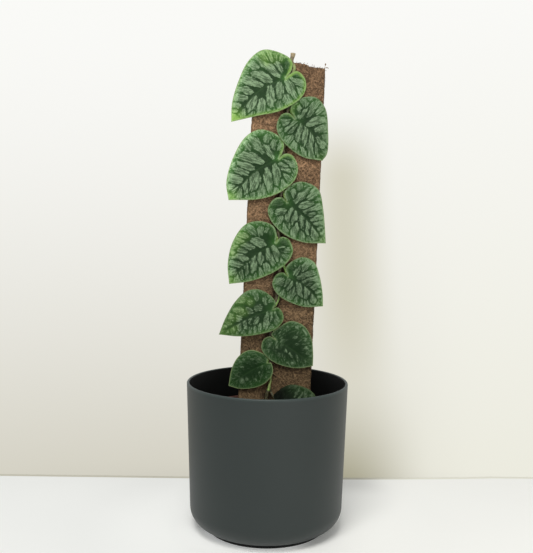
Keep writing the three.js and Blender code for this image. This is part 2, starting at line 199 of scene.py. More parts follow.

# Each leaf from the top down: its node on the stem, bend of the petiole, notch, middle of the midrib
# and tip, then the margin from notch to tip over the upper half and over the lower half. A leaf may differ
# from the usual in how far it comes forward from top to bottom, and in its petiole's green, cream and width;
# the lowest leaf's petiole is turned to the dark of the bark as painted shade
USUAL_LEAF = dict(proud=2.6, petiole=1.0, cream=0.0, wide=1.0)
LEAVES = [
    dict(
        node=(1.5, 531), elbow=(5.2, 523.5), notch=(-4, 511.5), middle=(-32, 497.5), tip=(-63.7, 459.2),
        upper=[
            (2, 520.5), (2.2, 530.5), (-9.5, 539.7), (-31, 543.6),
            (-47, 530.8), (-57.2, 508), (-63.8, 481),
        ],
        lower=[(1.5, 516.5), (8.5, 520), (17.5, 513), (19.5, 501), (12, 487), (-7, 474.5), (-32, 468)],
        cream=0.5, wide=1.4,
    ),
    dict(
        node=(0.5, 486), elbow=(2.8, 477), notch=(8.8, 466), middle=(28, 452), tip=(42, 419.8),
        upper=[(3.5, 476), (4.5, 482), (15, 490.5), (31, 492), (42.5, 480.5), (47, 455), (47, 428)],
        lower=[(1.5, 471.5), (-7, 469.5), (-12, 457), (-8, 444), (5, 431), (21, 422.5)],
    ),
    dict(
        node=(-3, 447), elbow=(-2, 434), notch=(-7.5, 419.5), middle=(-33, 405), tip=(-62.5, 370),
        upper=[
            (-3.4, 428), (-3, 438.2), (-14, 448.6), (-31.5, 452.3),
            (-46.5, 443.5), (-60, 418), (-66, 390),
        ],
        lower=[(-1.5, 425), (7, 424.5), (14.5, 412), (12, 397), (-3, 382), (-27, 373)],
    ),
    dict(
        node=(-2, 392), elbow=(-0.5, 382), notch=(4.1, 370.2), middle=(28, 352), tip=(50.3, 326),
        upper=[(0.5, 380.5), (5, 388), (16, 394.8), (29, 393.5), (40, 386), (45.5, 366), (49, 340)],
        lower=[(-2, 375.5), (-11, 373.5), (-17.5, 361), (-12, 347), (3, 333.5), (25, 326)],
    ),
    dict(
        node=(-6, 351), elbow=(-3.5, 337), notch=(-6.5, 324.3), middle=(-34, 305), tip=(-57.3, 274.6),
        upper=[(-6, 333), (-10, 342.5), (-26, 348), (-42.5, 343), (-55.5, 323), (-60, 298)],
        lower=[(-1, 330.5), (7, 329.5), (13.5, 316), (7.5, 302), (-8, 290), (-32, 279.5)],
    ),
    dict(
        node=(0, 308), elbow=(4.5, 297), notch=(9.3, 286.6), middle=(30, 276), tip=(50.5, 254.3),
        upper=[(6, 295), (11, 302.3), (25, 309.2), (38.3, 304), (44.8, 290), (49.6, 268)],
        lower=[(3.5, 290.5), (-4, 288), (-8.3, 277.5), (-2, 265.7), (12, 257.5), (30, 252.7)],
    ),
    dict(
        node=(-2, 272), elbow=(-0.5, 261), notch=(-6.1, 248.4), middle=(-33, 237), tip=(-66, 217),
        upper=[(-3.5, 256), (-10, 264), (-23, 270), (-37, 267.5), (-49.5, 255), (-59.5, 236)],
        lower=[(-1.6, 250.8), (3.2, 247.8), (6.4, 238.5), (0, 227.8), (-18, 220), (-42, 216)],
        proud=6.5, petiole=0.55,
    ),
    dict(
        node=(-6, 236), elbow=(-5, 224), notch=(-1.2, 214.1), middle=(22, 201), tip=(42.3, 186),
        upper=[(-6.5, 220), (2, 228.5), (15, 235.8), (30, 231), (39, 218), (42, 200)],
        lower=[(-8, 217.5), (-15, 214), (-17, 203), (-8, 192), (8, 184.7), (26, 182.7)],
    ),
    dict(
        node=(-8, 208), elbow=(-7.5, 197), notch=(-9.8, 187.5), middle=(-28, 177), tip=(-52.6, 159),
        upper=[(-9.5, 194), (-19, 199), (-31, 200.3), (-42.5, 193), (-49.5, 180)],
        lower=[(-5.5, 187.5), (-3, 176.5), (-10, 165.3), (-23, 158.3), (-40, 156.3)],
    ),
    dict(
        node=(-6.3, 160), elbow=(-3.5, 153), notch=(3, 145), middle=(24, 137), tip=(48, 128),
        upper=[(-1, 150.5), (4, 156.5), (17, 163.2), (31, 162), (42, 157.4), (48.2, 149)],
        lower=[(-3, 147), (-6.5, 141), (-5, 132), (6, 124), (24, 121.5)],
        # Its petiole takes the dark of the bark: painted shade low in the pot
        proud=24, petiole=0.1,
    ),
]
for number, leaf in enumerate(LEAVES, 1):
    leaf["name"] = f"leaf_{number:02d}"
    for trait, usual in USUAL_LEAF.items():
        leaf.setdefault(trait, usual)
    leaf["top"] = max(point[1] for point in leaf["upper"])
    leaf["bottom"] = min([leaf["tip"][1]] + [point[1] for point in leaf["lower"]])

# How each leaf is marked: strength of its silver, how far it breaks into flecks, how far the panels grow
# beyond the lines below in millimetres, how yellow its tip and rim are, how bright its notch and its very
# tip are, and how light it is as a whole, set leaf by leaf as painted shade: the lower leaves darker as the
# lamp's light falls off, the lowest darkest in the pot. Then come a silver veil over dark leaves, how much
# the painted highlight lightens the parts that catch the light, the glow right at the notch and along the
# margin beside it, the pale line along the edge, how far the green changes from the midrib outwards, the
# gloss, and where a painted shade ends in metres
USUAL_MARKS = dict(
    flecks=0.1, young=0.05, glow=0.2, tip=0.0, veil=0.0, lift=0.5, notch=0.2, sinus=1.0, rim=0.5, even=1.0,
    gloss=0.15, shade=None,
)
LEAF_MARKS = [
    dict(silver=1.0, growth=2.1, young=1.0, glow=0.95, tip=2.0, light=0.66),
    dict(silver=1.0, growth=2.2, young=0.2, glow=0.95, light=0.565, lift=0.0),
    dict(silver=1.0, growth=2.2, young=0.45, glow=0.85, tip=1.3, light=0.58, lift=0.9),
    dict(silver=1.0, growth=2.1, young=0.25, glow=0.5, tip=0.9, light=0.53, lift=0.2, sinus=0.3),
    dict(silver=0.97, flecks=0.2, growth=1.9, young=0.5, glow=0.5, tip=1.1, light=0.53, sinus=0.25),
    dict(silver=0.97, flecks=0.15, growth=1.8, young=0.2, glow=0.3, tip=0.6, light=0.445, lift=0.6),
    dict(silver=0.9, flecks=0.45, growth=1.3, young=0.5, glow=0.4, tip=1.4, light=0.53, lift=0.0, sinus=0.2),
    dict(silver=0.85, flecks=0.35, growth=-0.2, light=0.49, veil=0.5, lift=0.0, rim=0.9, even=0.65),
    dict(silver=0.6, flecks=0.45, growth=-0.1, light=0.57, veil=0.35, lift=0.0, rim=0.9, even=0.65),
    dict(
        silver=0.9, flecks=0.35, growth=0.5, young=0.1, glow=0.1, light=0.17, veil=0.5, lift=0.0,
        shade=(0.012, 0.038), gloss=0.05, even=0.7,
    ),
]

# The silver panels of each half leaf, read off the photograph, the upper half of leaf 1 first, then its
# lower half, and so on: the inner and the outer end of each panel, as a row and a share of the way out to
# the margin, and its width in millimetres. Dull ones are greener, young ones yellow-green
DULL = "dull"
YOUNG = "young"
SILVER = [
    [
        (2.8, 0.45, 2.4, 0.75, 3, DULL), (3.9, 0.68, 3.2, 0.93, 4, YOUNG), (4.7, 0.66, 4, 0.94, 5, YOUNG),
        (5.5, 0.6, 4.9, 0.94, 5, YOUNG), (6.3, 0.62, 5.8, 0.95, 5, YOUNG), (5.6, 0.22, 5.2, 0.5, 2.2),
        (6.5, 0.15, 6.6, 0.9, 6), (7.6, 0.12, 8.2, 0.6, 7), (7.4, 0.7, 7.4, 0.92, 8),
        (8.7, 0.15, 9.3, 0.85, 7), (10, 0.22, 10.5, 0.93, 5.5), (10.9, 0.27, 11.4, 0.93, 6),
        (12, 0.4, 12.3, 0.9, 4),
    ],
    [
        (2.6, 0.5, 2.4, 0.8, 5, DULL), (3.9, 0.25, 3.8, 0.7, 9), (4.9, 0.6, 5, 0.9, 8),
        (6.1, 0.15, 6, 0.75, 8), (7, 0.12, 7.7, 0.52, 6), (7, 0.63, 7, 0.82, 7), (8.1, 0.1, 8.9, 0.72, 7),
        (8.1, 0.72, 8.3, 0.86, 6), (9.7, 0.4, 10.6, 0.9, 8), (10.2, 0.08, 11.6, 0.52, 8),
        (11.3, 0.65, 11.6, 0.85, 6), (12, 0.05, 12.4, 0.55, 6),
    ],
    [
        (5.6, 0.25, 3.4, 0.5, 3), (5.3, 0.5, 4, 0.8, 5), (2.7, 0.78, 1.8, 0.95, 6, YOUNG),
        (6.3, 0.15, 6.1, 0.45, 4), (6.9, 0.35, 6.1, 0.85, 5), (7.2, 0.68, 6.9, 0.88, 5),
        (8.1, 0.15, 8.5, 0.88, 6), (9.4, 0.35, 9.6, 0.95, 6), (10.8, 0.65, 11, 0.9, 5, DULL),
        (10.7, 0.12, 12.3, 0.5, 9), (12.3, 0.3, 12.6, 0.75, 6),
    ],
    [
        (2.6, 0.5, 2.5, 0.8, 5, DULL), (5.2, 0.33, 4.5, 0.6, 7), (5.6, 0.78, 5.2, 0.92, 5),
        (6.5, 0.12, 6.5, 0.62, 3.5), (7, 0.2, 7.1, 0.62, 3.5), (7.4, 0.08, 8.7, 0.58, 4.5),
        (7.5, 0.62, 7.6, 0.82, 6), (8.6, 0.72, 9.2, 0.92, 5), (8.3, 0.06, 10.3, 0.6, 5),
        (9.9, 0.55, 11, 0.9, 6), (9.6, 0.03, 12.2, 0.75, 6), (11.3, 0.05, 12.6, 0.3, 4),
    ],
    [
        (3, 0.4, 2, 0.88, 6), (5.2, 0.32, 3.6, 0.6, 5), (5.7, 0.55, 4.4, 0.78, 5), (6.5, 0.12, 6.2, 0.5, 3.5),
        (6.9, 0.38, 6.5, 0.88, 6.5), (7.6, 0.7, 7.3, 0.92, 6), (7.9, 0.14, 8.8, 0.8, 8),
        (9.2, 0.16, 9.8, 0.72, 5), (10.15, 0.2, 10.4, 0.85, 4.5), (11.2, 0.25, 11.6, 0.83, 8),
        (12.3, 0.38, 12.5, 0.88, 4), (12.3, 0.02, 12.8, 0.15, 5), (8.5, 0.88, 8.6, 0.95, 6),
        (10, 0.88, 10.4, 0.94, 8),
    ],
    [
        (2.4, 0.4, 2.2, 0.75, 5, DULL), (3.6, 0.3, 3.6, 0.75, 8), (4.5, 0.7, 4.8, 0.88, 6),
        (6.3, 0.2, 4.9, 0.45, 4), (6.3, 0.38, 5.1, 0.65, 5), (6.2, 0.62, 5.8, 0.85, 7),
        (6.9, 0.72, 7, 0.93, 6), (6.9, 0.18, 7.6, 0.7, 6.5), (8, 0.18, 8.6, 0.78, 7.5),
        (8, 0.82, 8.2, 0.93, 5), (9.4, 0.57, 10, 0.92, 7.5), (10.7, 0.66, 11, 0.9, 5),
        (11.5, 0.7, 11.8, 0.88, 5), (9.3, 0.12, 10.7, 0.5, 9), (10.9, 0.06, 11.7, 0.58, 6),
        (12, 0.05, 12.6, 0.5, 7),
    ],
    [
        (2.8, 0.25, 1.8, 0.6, 5, DULL), (5.5, 0.3, 3.8, 0.5, 4.5), (5.2, 0.62, 4.4, 0.8, 5),
        (6.7, 0.22, 6.3, 0.72, 5), (7.2, 0.62, 6.8, 0.88, 6), (7.7, 0.22, 8.3, 0.58, 5),
        (8.7, 0.2, 9, 0.82, 4.5), (9.3, 0.25, 9.6, 0.5, 4), (10.2, 0.25, 10.6, 0.9, 5.5),
        (10.8, 0.3, 11.3, 0.85, 4.5), (11.8, 0.45, 11.9, 0.68, 4), (12.4, 0.55, 12.6, 0.9, 5),
    ],
    [
        (3.6, 0.3, 3.4, 0.6, 6, DULL), (4.5, 0.68, 4.8, 0.85, 6), (6.5, 0.32, 5.2, 0.62, 6),
        (6.6, 0.6, 6.5, 0.82, 6), (7.2, 0.12, 7.7, 0.5, 4.5), (7.9, 0.12, 8.4, 0.48, 4.5),
        (7.9, 0.55, 8.2, 0.66, 4), (7.5, 0.72, 8.1, 0.88, 5), (8.9, 0.42, 9.5, 0.82, 6),
        (10.1, 0.55, 10.7, 0.85, 6), (11.2, 0.65, 11.9, 0.85, 5), (8.9, 0.06, 10.1, 0.4, 5),
        (9.7, 0.05, 11, 0.48, 6), (11.1, 0.06, 12, 0.52, 7),
    ],
    [
        (3.8, 0.4, 2.4, 0.75, 4, DULL), (5, 0.48, 3.6, 0.62, 3), (6.3, 0.48, 5.1, 0.65, 4.5),
        (6.6, 0.6, 6, 0.92, 5), (7.2, 0.15, 7.5, 0.45, 6), (8.3, 0.32, 8.6, 0.62, 4.5),
        (9.2, 0.4, 9.3, 0.68, 3.5), (10.1, 0.15, 10.5, 0.72, 6), (11, 0.18, 11.2, 0.7, 6),
        (12.2, 0.4, 12.4, 0.6, 5), (7.4, 0.72, 7.4, 0.92, 6, YOUNG), (8.2, 0.72, 8.2, 0.92, 5, YOUNG),
        (9.1, 0.78, 9.2, 0.94, 5, YOUNG), (10, 0.8, 10.1, 0.92, 4, YOUNG),
    ],
    [
        (2.6, 0.42, 2.5, 0.75, 8, DULL), (5.8, 0.3, 4.3, 0.45, 3.5), (5.6, 0.42, 4.3, 0.65, 5),
        (5.7, 0.62, 5.3, 0.85, 7), (6.3, 0.72, 6.3, 0.88, 4), (6.6, 0.12, 6.8, 0.62, 5.5),
        (7.4, 0.12, 7.6, 0.72, 5.5), (8.5, 0.1, 9.1, 0.42, 4.5), (8.5, 0.58, 8.6, 0.82, 7),
        (9.3, 0.1, 10.5, 0.58, 7), (9.4, 0.65, 9.5, 0.88, 5), (10.2, 0.66, 10.3, 0.88, 4),
        (11, 0.7, 11.5, 0.88, 6), (10.7, 0.12, 11.3, 0.5, 6), (11.6, 0.05, 12, 0.5, 6),
        (12.5, 0.05, 12.8, 0.5, 5),
    ],
    [
        (4.3, 0.42, 2.6, 0.75, 5, DULL), (5.9, 0.45, 4, 0.6, 3), (6.6, 0.22, 6.1, 0.5, 3),
        (7, 0.48, 6.4, 0.85, 5), (7.5, 0.13, 8.3, 0.75, 4.5), (8.8, 0.1, 9.4, 0.85, 4.5),
        (9.4, 0.2, 9.6, 0.45, 2.5), (10.4, 0.33, 10.7, 0.88, 5), (11.3, 0.45, 11.5, 0.88, 4),
    ],
    [
        (5, 0.3, 4.6, 0.62, 8), (5.6, 0.72, 5.5, 0.84, 5), (6.5, 0.15, 6.6, 0.4, 3.5),
        (7.2, 0.2, 7.3, 0.55, 3.5), (6.6, 0.72, 6.7, 0.88, 5), (8, 0.42, 8.1, 0.78, 6.5),
        (8.1, 0.06, 9.8, 0.5, 4), (9.7, 0.06, 10.6, 0.42, 5.5), (9.3, 0.68, 9.5, 0.88, 3.5),
        (10, 0.7, 10.2, 0.85, 3), (11, 0.68, 11.4, 0.85, 5), (11.5, 0.05, 11.8, 0.48, 5.5),
    ],
    [
        (4.5, 0.35, 2.6, 0.55, 2.5), (6.2, 0.3, 5, 0.5, 3.5), (6.6, 0.55, 5.6, 0.82, 4),
        (7.2, 0.2, 7.6, 0.28, 5), (7.5, 0.58, 7.5, 0.68, 4, YOUNG), (7.4, 0.75, 8.3, 0.88, 5, YOUNG),
        (8.5, 0.22, 8.8, 0.42, 4), (9.2, 0.37, 9.7, 0.72, 6.5, YOUNG), (10.3, 0.22, 10.6, 0.5, 5),
        (10.6, 0.5, 11, 0.78, 6, YOUNG), (11.7, 0.42, 11.9, 0.72, 3, YOUNG),
        (12.5, 0.6, 12.7, 0.88, 3, YOUNG),
    ],
    [
        (2.7, 0.5, 2.8, 0.72, 6, DULL), (4.5, 0.25, 4.5, 0.78, 7), (6.2, 0.12, 6.2, 0.5, 2.5),
        (6.8, 0.12, 6.9, 0.75, 5), (5.6, 0.78, 6.2, 0.86, 3), (7.8, 0.55, 7.9, 0.8, 4),
        (8.5, 0.6, 8.5, 0.82, 4), (9.2, 0.6, 9.3, 0.78, 4), (10.2, 0.65, 10.3, 0.85, 4),
        (8.2, 0.2, 8.7, 0.36, 4.5), (9.1, 0.15, 9.5, 0.32, 3.5), (10, 0.1, 10, 0.5, 5),
        (10.9, 0.1, 10.9, 0.5, 5), (11.9, 0.1, 11.9, 0.5, 6, YOUNG), (12.7, 0.05, 12.8, 0.5, 4, YOUNG),
    ],
    [
        (4.9, 0.6, 3.2, 0.72, 2), (6.2, 0.52, 5.6, 0.7, 2.5), (7.9, 0.38, 8.2, 0.58, 3),
        (7.7, 0.62, 7.6, 0.68, 2.5), (6.6, 0.83, 7.1, 0.82, 2), (7.6, 0.87, 8.6, 0.87, 1.5),
        (9, 0.27, 9.5, 0.38, 2), (9.7, 0.45, 10, 0.65, 2.5), (10.5, 0.52, 10.7, 0.64, 3),
        (11.4, 0.4, 11.8, 0.65, 2.5), (9.3, 0.7, 9.4, 0.8, 2),
    ],
    [
        (2.5, 0.4, 2.5, 0.62, 7, DULL), (4.3, 0.42, 4.6, 0.56, 5), (5.4, 0.55, 5.7, 0.7, 4),
        (7.6, 0.45, 7.6, 0.68, 2.5), (6.8, 0.25, 7, 0.35, 2), (8.3, 0.2, 8.7, 0.28, 3.5),
        (9.2, 0.22, 9.8, 0.42, 4), (10.2, 0.1, 11.1, 0.43, 3.5), (8.3, 0.68, 8.7, 0.82, 2),
        (9.3, 0.7, 9.8, 0.82, 3), (10.2, 0.65, 10.5, 0.78, 2.5), (12.3, 0.12, 12.4, 0.28, 3),
    ],
    [
        (9.4, 0.42, 9.7, 0.58, 2.5), (7.1, 0.68, 7.1, 0.72, 1.5), (7.9, 0.68, 7.8, 0.76, 1.8),
        (11.1, 0.45, 11.2, 0.6, 2, DULL),
    ],
    [
        (5.5, 0.25, 3.6, 0.42, 2), (5.5, 0.5, 4.6, 0.62, 3), (6, 0.64, 5.7, 0.74, 2.5),
        (7.2, 0.45, 7.5, 0.6, 3), (7.6, 0.25, 7.8, 0.35, 2), (8.4, 0.55, 8.2, 0.7, 2.5),
        (10.2, 0.25, 10.3, 0.42, 3), (11.1, 0.25, 11.1, 0.48, 3), (9.1, 0.75, 9.4, 0.8, 1.5),
    ],
    [
        (7.4, 0.8, 8, 0.5, 4), (8.2, 0.75, 8.6, 0.5, 4), (8.8, 0.8, 9.2, 0.65, 4),
    ],
    [
        (4.3, 0.42, 4.6, 0.56, 4), (7.6, 0.45, 7.6, 0.68, 2.5), (9.2, 0.22, 9.8, 0.42, 3),
        (10.2, 0.1, 11.1, 0.43, 3),
    ],
]

# The camera that the photograph was fitted with, and the two edges of the floor
CAMERA_PLACE = (-0.65, -918.02, 368.66)
CAMERA_FOCAL_PIXELS = 808.84
CAMERA_DOWN = 4.856
CAMERA_PAN = -0.114
CAMERA_ROLL = 0.707
PICTURE_HEIGHT = 553
FLOOR_BACK = [(-2500, 156.5), (-100, 156), (130, 160), (200, 163.5), (260, 167), (310, 172), (2500, 192)]
FLOOR_SEAM = 8
FLOOR_FRONT = -3000
FLOOR_HALF = 2500
FLOOR_STEPS = 40

# The lamps, in metres, and what they point at
MAIN_LAMP = dict(place=(-0.3, -1.1, 1.75), size=0.9, colour=(1.0, 0.98, 0.95))
FILL_LAMP = dict(place=(0.75, -1.3, 0.7), size=1.0, colour=(1.0, 0.99, 0.97))
LAMP_AIM = (0, 0, 0.28)


def clamp(value, low=0.0, high=1.0):
    return min(max(value, low), high)


def blend(a, b, share):
    return a + (b - a) * share


def ease(value, low, high):
    """0 at low, 1 at high, with a smooth step between."""
    share = clamp((value - low) / (high - low))
    return share * share * (3 - 2 * share)


def srgb(*rgb):
    """A screen colour from 0 to 255 as the linear colour that a shader takes."""
    return tuple(c / 255 / 12.92 if c <= 10 else ((c / 255 + 0.055) / 1.055) ** 2.4 for c in rgb)


def circle(radius, height, sides, centre=(0, 0)):
    """Points round a vertical axis."""
    x, y = centre
    turns = [2 * math.pi * k / sides for k in range(sides)]
    return [(x + radius * math.cos(turn), y + radius * math.sin(turn), height) for turn in turns]


def curve_through(points, steps=24):
    """A centripetal Catmull-Rom line through points, steps to each stretch."""
    points = [Vector(point) for point in points]
    padded = [2 * points[0] - points[1], *points, 2 * points[-1] - points[-2]]
    line = []
    for i in range(1, len(padded) - 2):
        before, start, end, after = padded[i - 1 : i + 3]
        t1 = (start - before).length ** 0.5
        t2 = t1 + (end - start).length ** 0.5
        t3 = t2 + (after - end).length ** 0.5
        for step in range(steps):
            t = t1 + (t2 - t1) * step / steps
            a = before.lerp(start, t / t1)
            b = start.lerp(end, (t - t1) / (t2 - t1))
            c = end.lerp(after, (t - t2) / (t3 - t2))
            d = a.lerp(b, t / t2)
            e = b.lerp(c, (t - t1) / (t3 - t1))
            line.append(d.lerp(e, (t - t1) / (t2 - t1)))
    line.append(points[-1])
    return line


def even_points(line, steps):
    """Points evenly spaced along a line, both ends among them."""
    lengths = [0.0]
    for a, b in zip(line, line[1:]):
        lengths.append(lengths[-1] + (b - a).length)
    points = []
    at = 0
    for step in range(steps + 1):
        wanted = lengths[-1] * step / steps
        while at < len(line) - 2 and lengths[at + 1] < wanted:
            at += 1
        stretch = lengths[at + 1] - lengths[at]
        points.append(line[at].lerp(line[at + 1], clamp((wanted - lengths[at]) / stretch)))
    return points


STEM_LINE = [CUT_TOP, *(leaf["node"] for leaf in LEAVES[:-1]), *STEM_FOOT]


def stem_across(along):
    """How far across the stem lies at a height along the board."""
    if along >= STEM_LINE[0][1]:
        return STEM_LINE[0][0]
    for upper, lower in zip(STEM_LINE, STEM_LINE[1:]):
        if lower[1] < along:
            return blend(upper[0], lower[0], ease(upper[1] - along, 0, upper[1] - lower[1]))
    return STEM_LINE[-1][0]


def blade_back(leaf, across, along):
    """Height of a blade's back over the board, as in the part's source."""
    down = clamp((leaf["top"] - along) / (leaf["top"] - leaf["bottom"]))
    beside = (across - stem_across(along)) / RIDGE_WIDTH
    return BLADE_CLEARANCE + leaf["proud"] * down + RIDGE_HEIGHT * math.exp(-beside * beside)


class Term:
    """A shader socket that takes part in sums."""

    def __init__(self, paint, socket):
        self.paint = paint
        self.socket = socket

    def maths(self, operation, *terms):
        return self.paint.maths(operation, *terms)

    def __add__(self, other):
        return self.maths("ADD", self, other)

    def __sub__(self, other):
        return self.maths("SUBTRACT", self, other)

    def __rsub__(self, other):
        return self.maths("SUBTRACT", other, self)

    def __mul__(self, other):
        return self.maths("MULTIPLY", self, other)

    def __truediv__(self, other):
        return self.maths("DIVIDE", self, other)

    def __abs__(self):
        return self.maths("ABSOLUTE", self)

    __radd__ = __add__


class Paint:
    """A material's nodes, made in the order in which they are asked for."""

    def __init__(self, name=None, tree=None):
        if tree is None:
            self.material = bpy.data.materials.new(name)
            self.material.use_nodes = True
            tree = self.material.node_tree
        self.tree = tree
        tree.nodes.clear()

    def node(self, kind, settings=None, sockets=None, output=0):
        """Adds a node, sets what it is, then fills its sockets with values or links."""
        made = self.tree.nodes.new(kind)
        for key, value in (settings or {}).items():
            setattr(made, key, value)
        for key, value in (sockets or {}).items():
            if isinstance(value, Term):
                self.tree.links.new(value.socket, made.inputs[key])
            else:
                made.inputs[key].default_value = value
        return Term(self, made.outputs[output]) if len(made.outputs) else made

    def maths(self, operation, *terms):
        return self.node("ShaderNodeMath", {"operation": operation}, dict(enumerate(terms)))

    def larger(self, first, second):
        return self.maths("MAXIMUM", first, second)

    def smaller(self, first, second):
        return self.maths("MINIMUM", first, second)

    def ease(self, value, low, high):
        """0 at low, 1 at high, with a smooth step between; low may be the larger."""
        settings = {"interpolation_type": "SMOOTHSTEP"}
        if isinstance(low, Term) or isinstance(high, Term) or low <= high:
            return self.node("ShaderNodeMapRange", settings, {0: value, 1: low, 2: high})
        return self.node("ShaderNodeMapRange", settings, {0: value, 1: high, 2: low, 3: 1.0, 4: 0.0})

    def mix(self, first, second, share):
        """One colour laid over another by share."""
        sockets = {0: share}
        for key, colour in ((6, first), (7, second)):
            sockets[key] = colour if isinstance(colour, Term) else (*colour, 1.0)
        return self.node("ShaderNodeMix", {"data_type": "RGBA"}, sockets, 2)

    def shade(self, colour, light):
        """A colour made lighter or darker by a number."""
        return self.node("ShaderNodeVectorMath", {"operation": "SCALE"}, {0: colour, 3: light})

    def join(self, *numbers):
        """Three numbers as one vector."""
        return self.node("ShaderNodeCombineXYZ", None, dict(enumerate(numbers)))

    def split(self, vector):
        return [self.node("ShaderNodeSeparateXYZ", None, {0: vector}, i) for i in range(3)]

    def place(self):
        """Where the surface is, in metres, in the frame that every piece shares."""
        return self.node("ShaderNodeTexCoord", output=3)

    def along_fibres(self, vector, turn, stretch):
        """Coordinates turned in the board's plane and drawn out, so that noise on them makes fibres."""
        settings = {"vector_type": "TEXTURE"}
        sockets = {0: vector, 2: (0, turn, 0), 3: (stretch, 1, 1)}
        return self.node("ShaderNodeMapping", settings, sockets)

    def noise(self, vector, scale, detail=2.0, roughness=0.5):
        sockets = {"Vector": vector, "Scale": scale, "Detail": detail, "Roughness": roughness}
        return self.node("ShaderNodeTexNoise", None, sockets)

    def map(self, name):
        """Both numbers of one of a piece's UV maps."""
        return self.split(self.node("ShaderNodeUVMap", {"uv_map": name}))[:2]

    def bump(self, height, distance, strength=1.0):
        sockets = {"Strength": strength, "Distance": distance, "Height": height}
        return self.node("ShaderNodeBump", None, sockets)

    def finish(self, sockets):
        shader = self.node("ShaderNodeBsdfPrincipled", None, sockets)
        self.node("ShaderNodeOutputMaterial", None, {"Surface": shader})
        return self.material


class Shape:
    """Corners, faces, the material of each face, and UV numbers for each corner of a face."""

    def __init__(self, place=None):
        self.place = place or Matrix.Identity(4)
        self.corners = []
        self.faces = []
        self.finishes = []
        self.maps = {}

    def corner(self, point):
        self.corners.append(tuple(self.place @ Vector(point) * MM))
        return len(self.corners) - 1

    def face(self, corners, finish=0, **maps):
        self.faces.append(tuple(corners))
        self.finishes.append(finish)
        for name, pairs in maps.items():
            self.maps.setdefault(name, []).extend(pairs)

    def band(self, first, second, finish=0, **maps):
        """Faces between two rings of corners. Where corners coincide, they count once."""
        for k in range(len(first)):
            n = (k + 1) % len(first)
            self.face(dict.fromkeys((first[k], second[k], second[n], first[n])), finish, **maps)

    def prism(self, low, high):
        """A closed solid between two loops of points."""
        low = [self.corner(point) for point in low]
        high = [self.corner(point) for point in high]
        self.band(high, low)
        self.face(low[::-1])
        self.face(high)

    def rod(self, points, widths, depths, sides, tones=None):
        """A closed rod through points, as wide, as deep and of the tone that is given at each."""
        rings = []
        outwards = Vector((0, 0, 1))
        for i, point in enumerate(points):
            forward = (points[min(i + 1, len(points) - 1)] - points[max(i - 1, 0)]).normalized()
            sideways = forward.cross(outwards).normalized()
            upwards = sideways.cross(forward)
            ring = []
            for k in range(sides):
                turn = 2 * math.pi * k / sides
                aside = sideways * (widths[i] / 2 * math.cos(turn))
                ring.append(self.corner(point + aside + upwards * (depths[i] / 2 * math.sin(turn))))
            rings.append(ring)
        tones = tones or [(0.0, 0.0)] * len(points)
        for i, (low, high) in enumerate(zip(tones, tones[1:])):
            self.band(rings[i], rings[i + 1], tone=[low, high, high, low])
        self.face(rings[0], tone=[tones[0]] * sides)
        self.face(rings[-1][::-1], tone=[tones[-1]] * sides)

    def turned(self, profile, sides, finishes=None):
        """A profile of radius and height turned about the vertical axis. It begins and ends on the axis."""
        rings = []
        for radius, height in profile:
            if radius == 0:
                rings.append([self.corner((0, 0, height))] * sides)
            else:
                rings.append([self.corner(point) for point in circle(radius, height, sides)])
        for i, (low, high) in enumerate(zip(rings, rings[1:])):
            self.band(high, low, finishes[i] if finishes else 0)

    def object(self, name, materials, flat=False):
        """The shape as a Blender object in the scene."""
        mesh = bpy.data.meshes.new(name)
        mesh.from_pydata(self.corners, [], self.faces)
        for material in materials:
            mesh.materials.append(material)
        mesh.polygons.foreach_set("material_index", self.finishes)
        for key, pairs in self.maps.items():
            layer = mesh.uv_layers.new(name=key)
            layer.data.foreach_set("uv", [number for pair in pairs for number in pair])
        if not flat:
            mesh.shade_smooth()
        mesh.update()
        made = bpy.data.objects.new(name, mesh)
        bpy.context.scene.collection.objects.link(made)
        return made

    def piece(self, name, slot, materials, replaces=None, flat=False):
        """The shape as a piece that rides on the plant's one body."""
        made = self.object(name, materials, flat)
        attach(made, "root")
        if replaces:
            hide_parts(replaces)
        return made


def plastic(name, roughness, **colours):
    """Matt moulded plastic with a fine grain. A cover pot's wall gets a painted highlight at its rim and
    painted shade at its foot.
    """
    made = []
    for part, colour in colours.items():
        paint = Paint(f"{name}_{part}")
        place = paint.place()
        grain = paint.noise(place, 1800, 2)
        cloud = paint.noise(place, 14, 3)
        light = 0.9 + cloud * 0.14 + grain * 0.06
        height = paint.split(place)[2]
        if part == "wall":
            # Painted highlight at the rim, painted shade at the foot
            rim, foot = paint.ease(height, *RIM_PAINTED_HIGHLIGHT), paint.ease(height, *FOOT_SHADE)
            light = light * (1 + rim * 0.75 - foot * 0.3)
        sockets = {
            "Base Color": paint.shade((*colour,), light),
            "Roughness": roughness - 0.04 + grain * 0.08,
            "Specular IOR Level": 0.5 if part == "wall" else 0.25,
            "Normal": paint.bump(grain, 0.00006, 0.5),
        }
        made.append(paint.finish(sockets))
    return made


def arc(centre, height, radius, start, end, steps):
    """Points of radius and height along a part of a circle, angles in degrees."""
    points = []
    for step in range(steps + 1):
        turn = math.radians(start + (end - start) * step / steps)
        points.append((centre + radius * math.cos(turn), height + radius * math.sin(turn)))
    return points


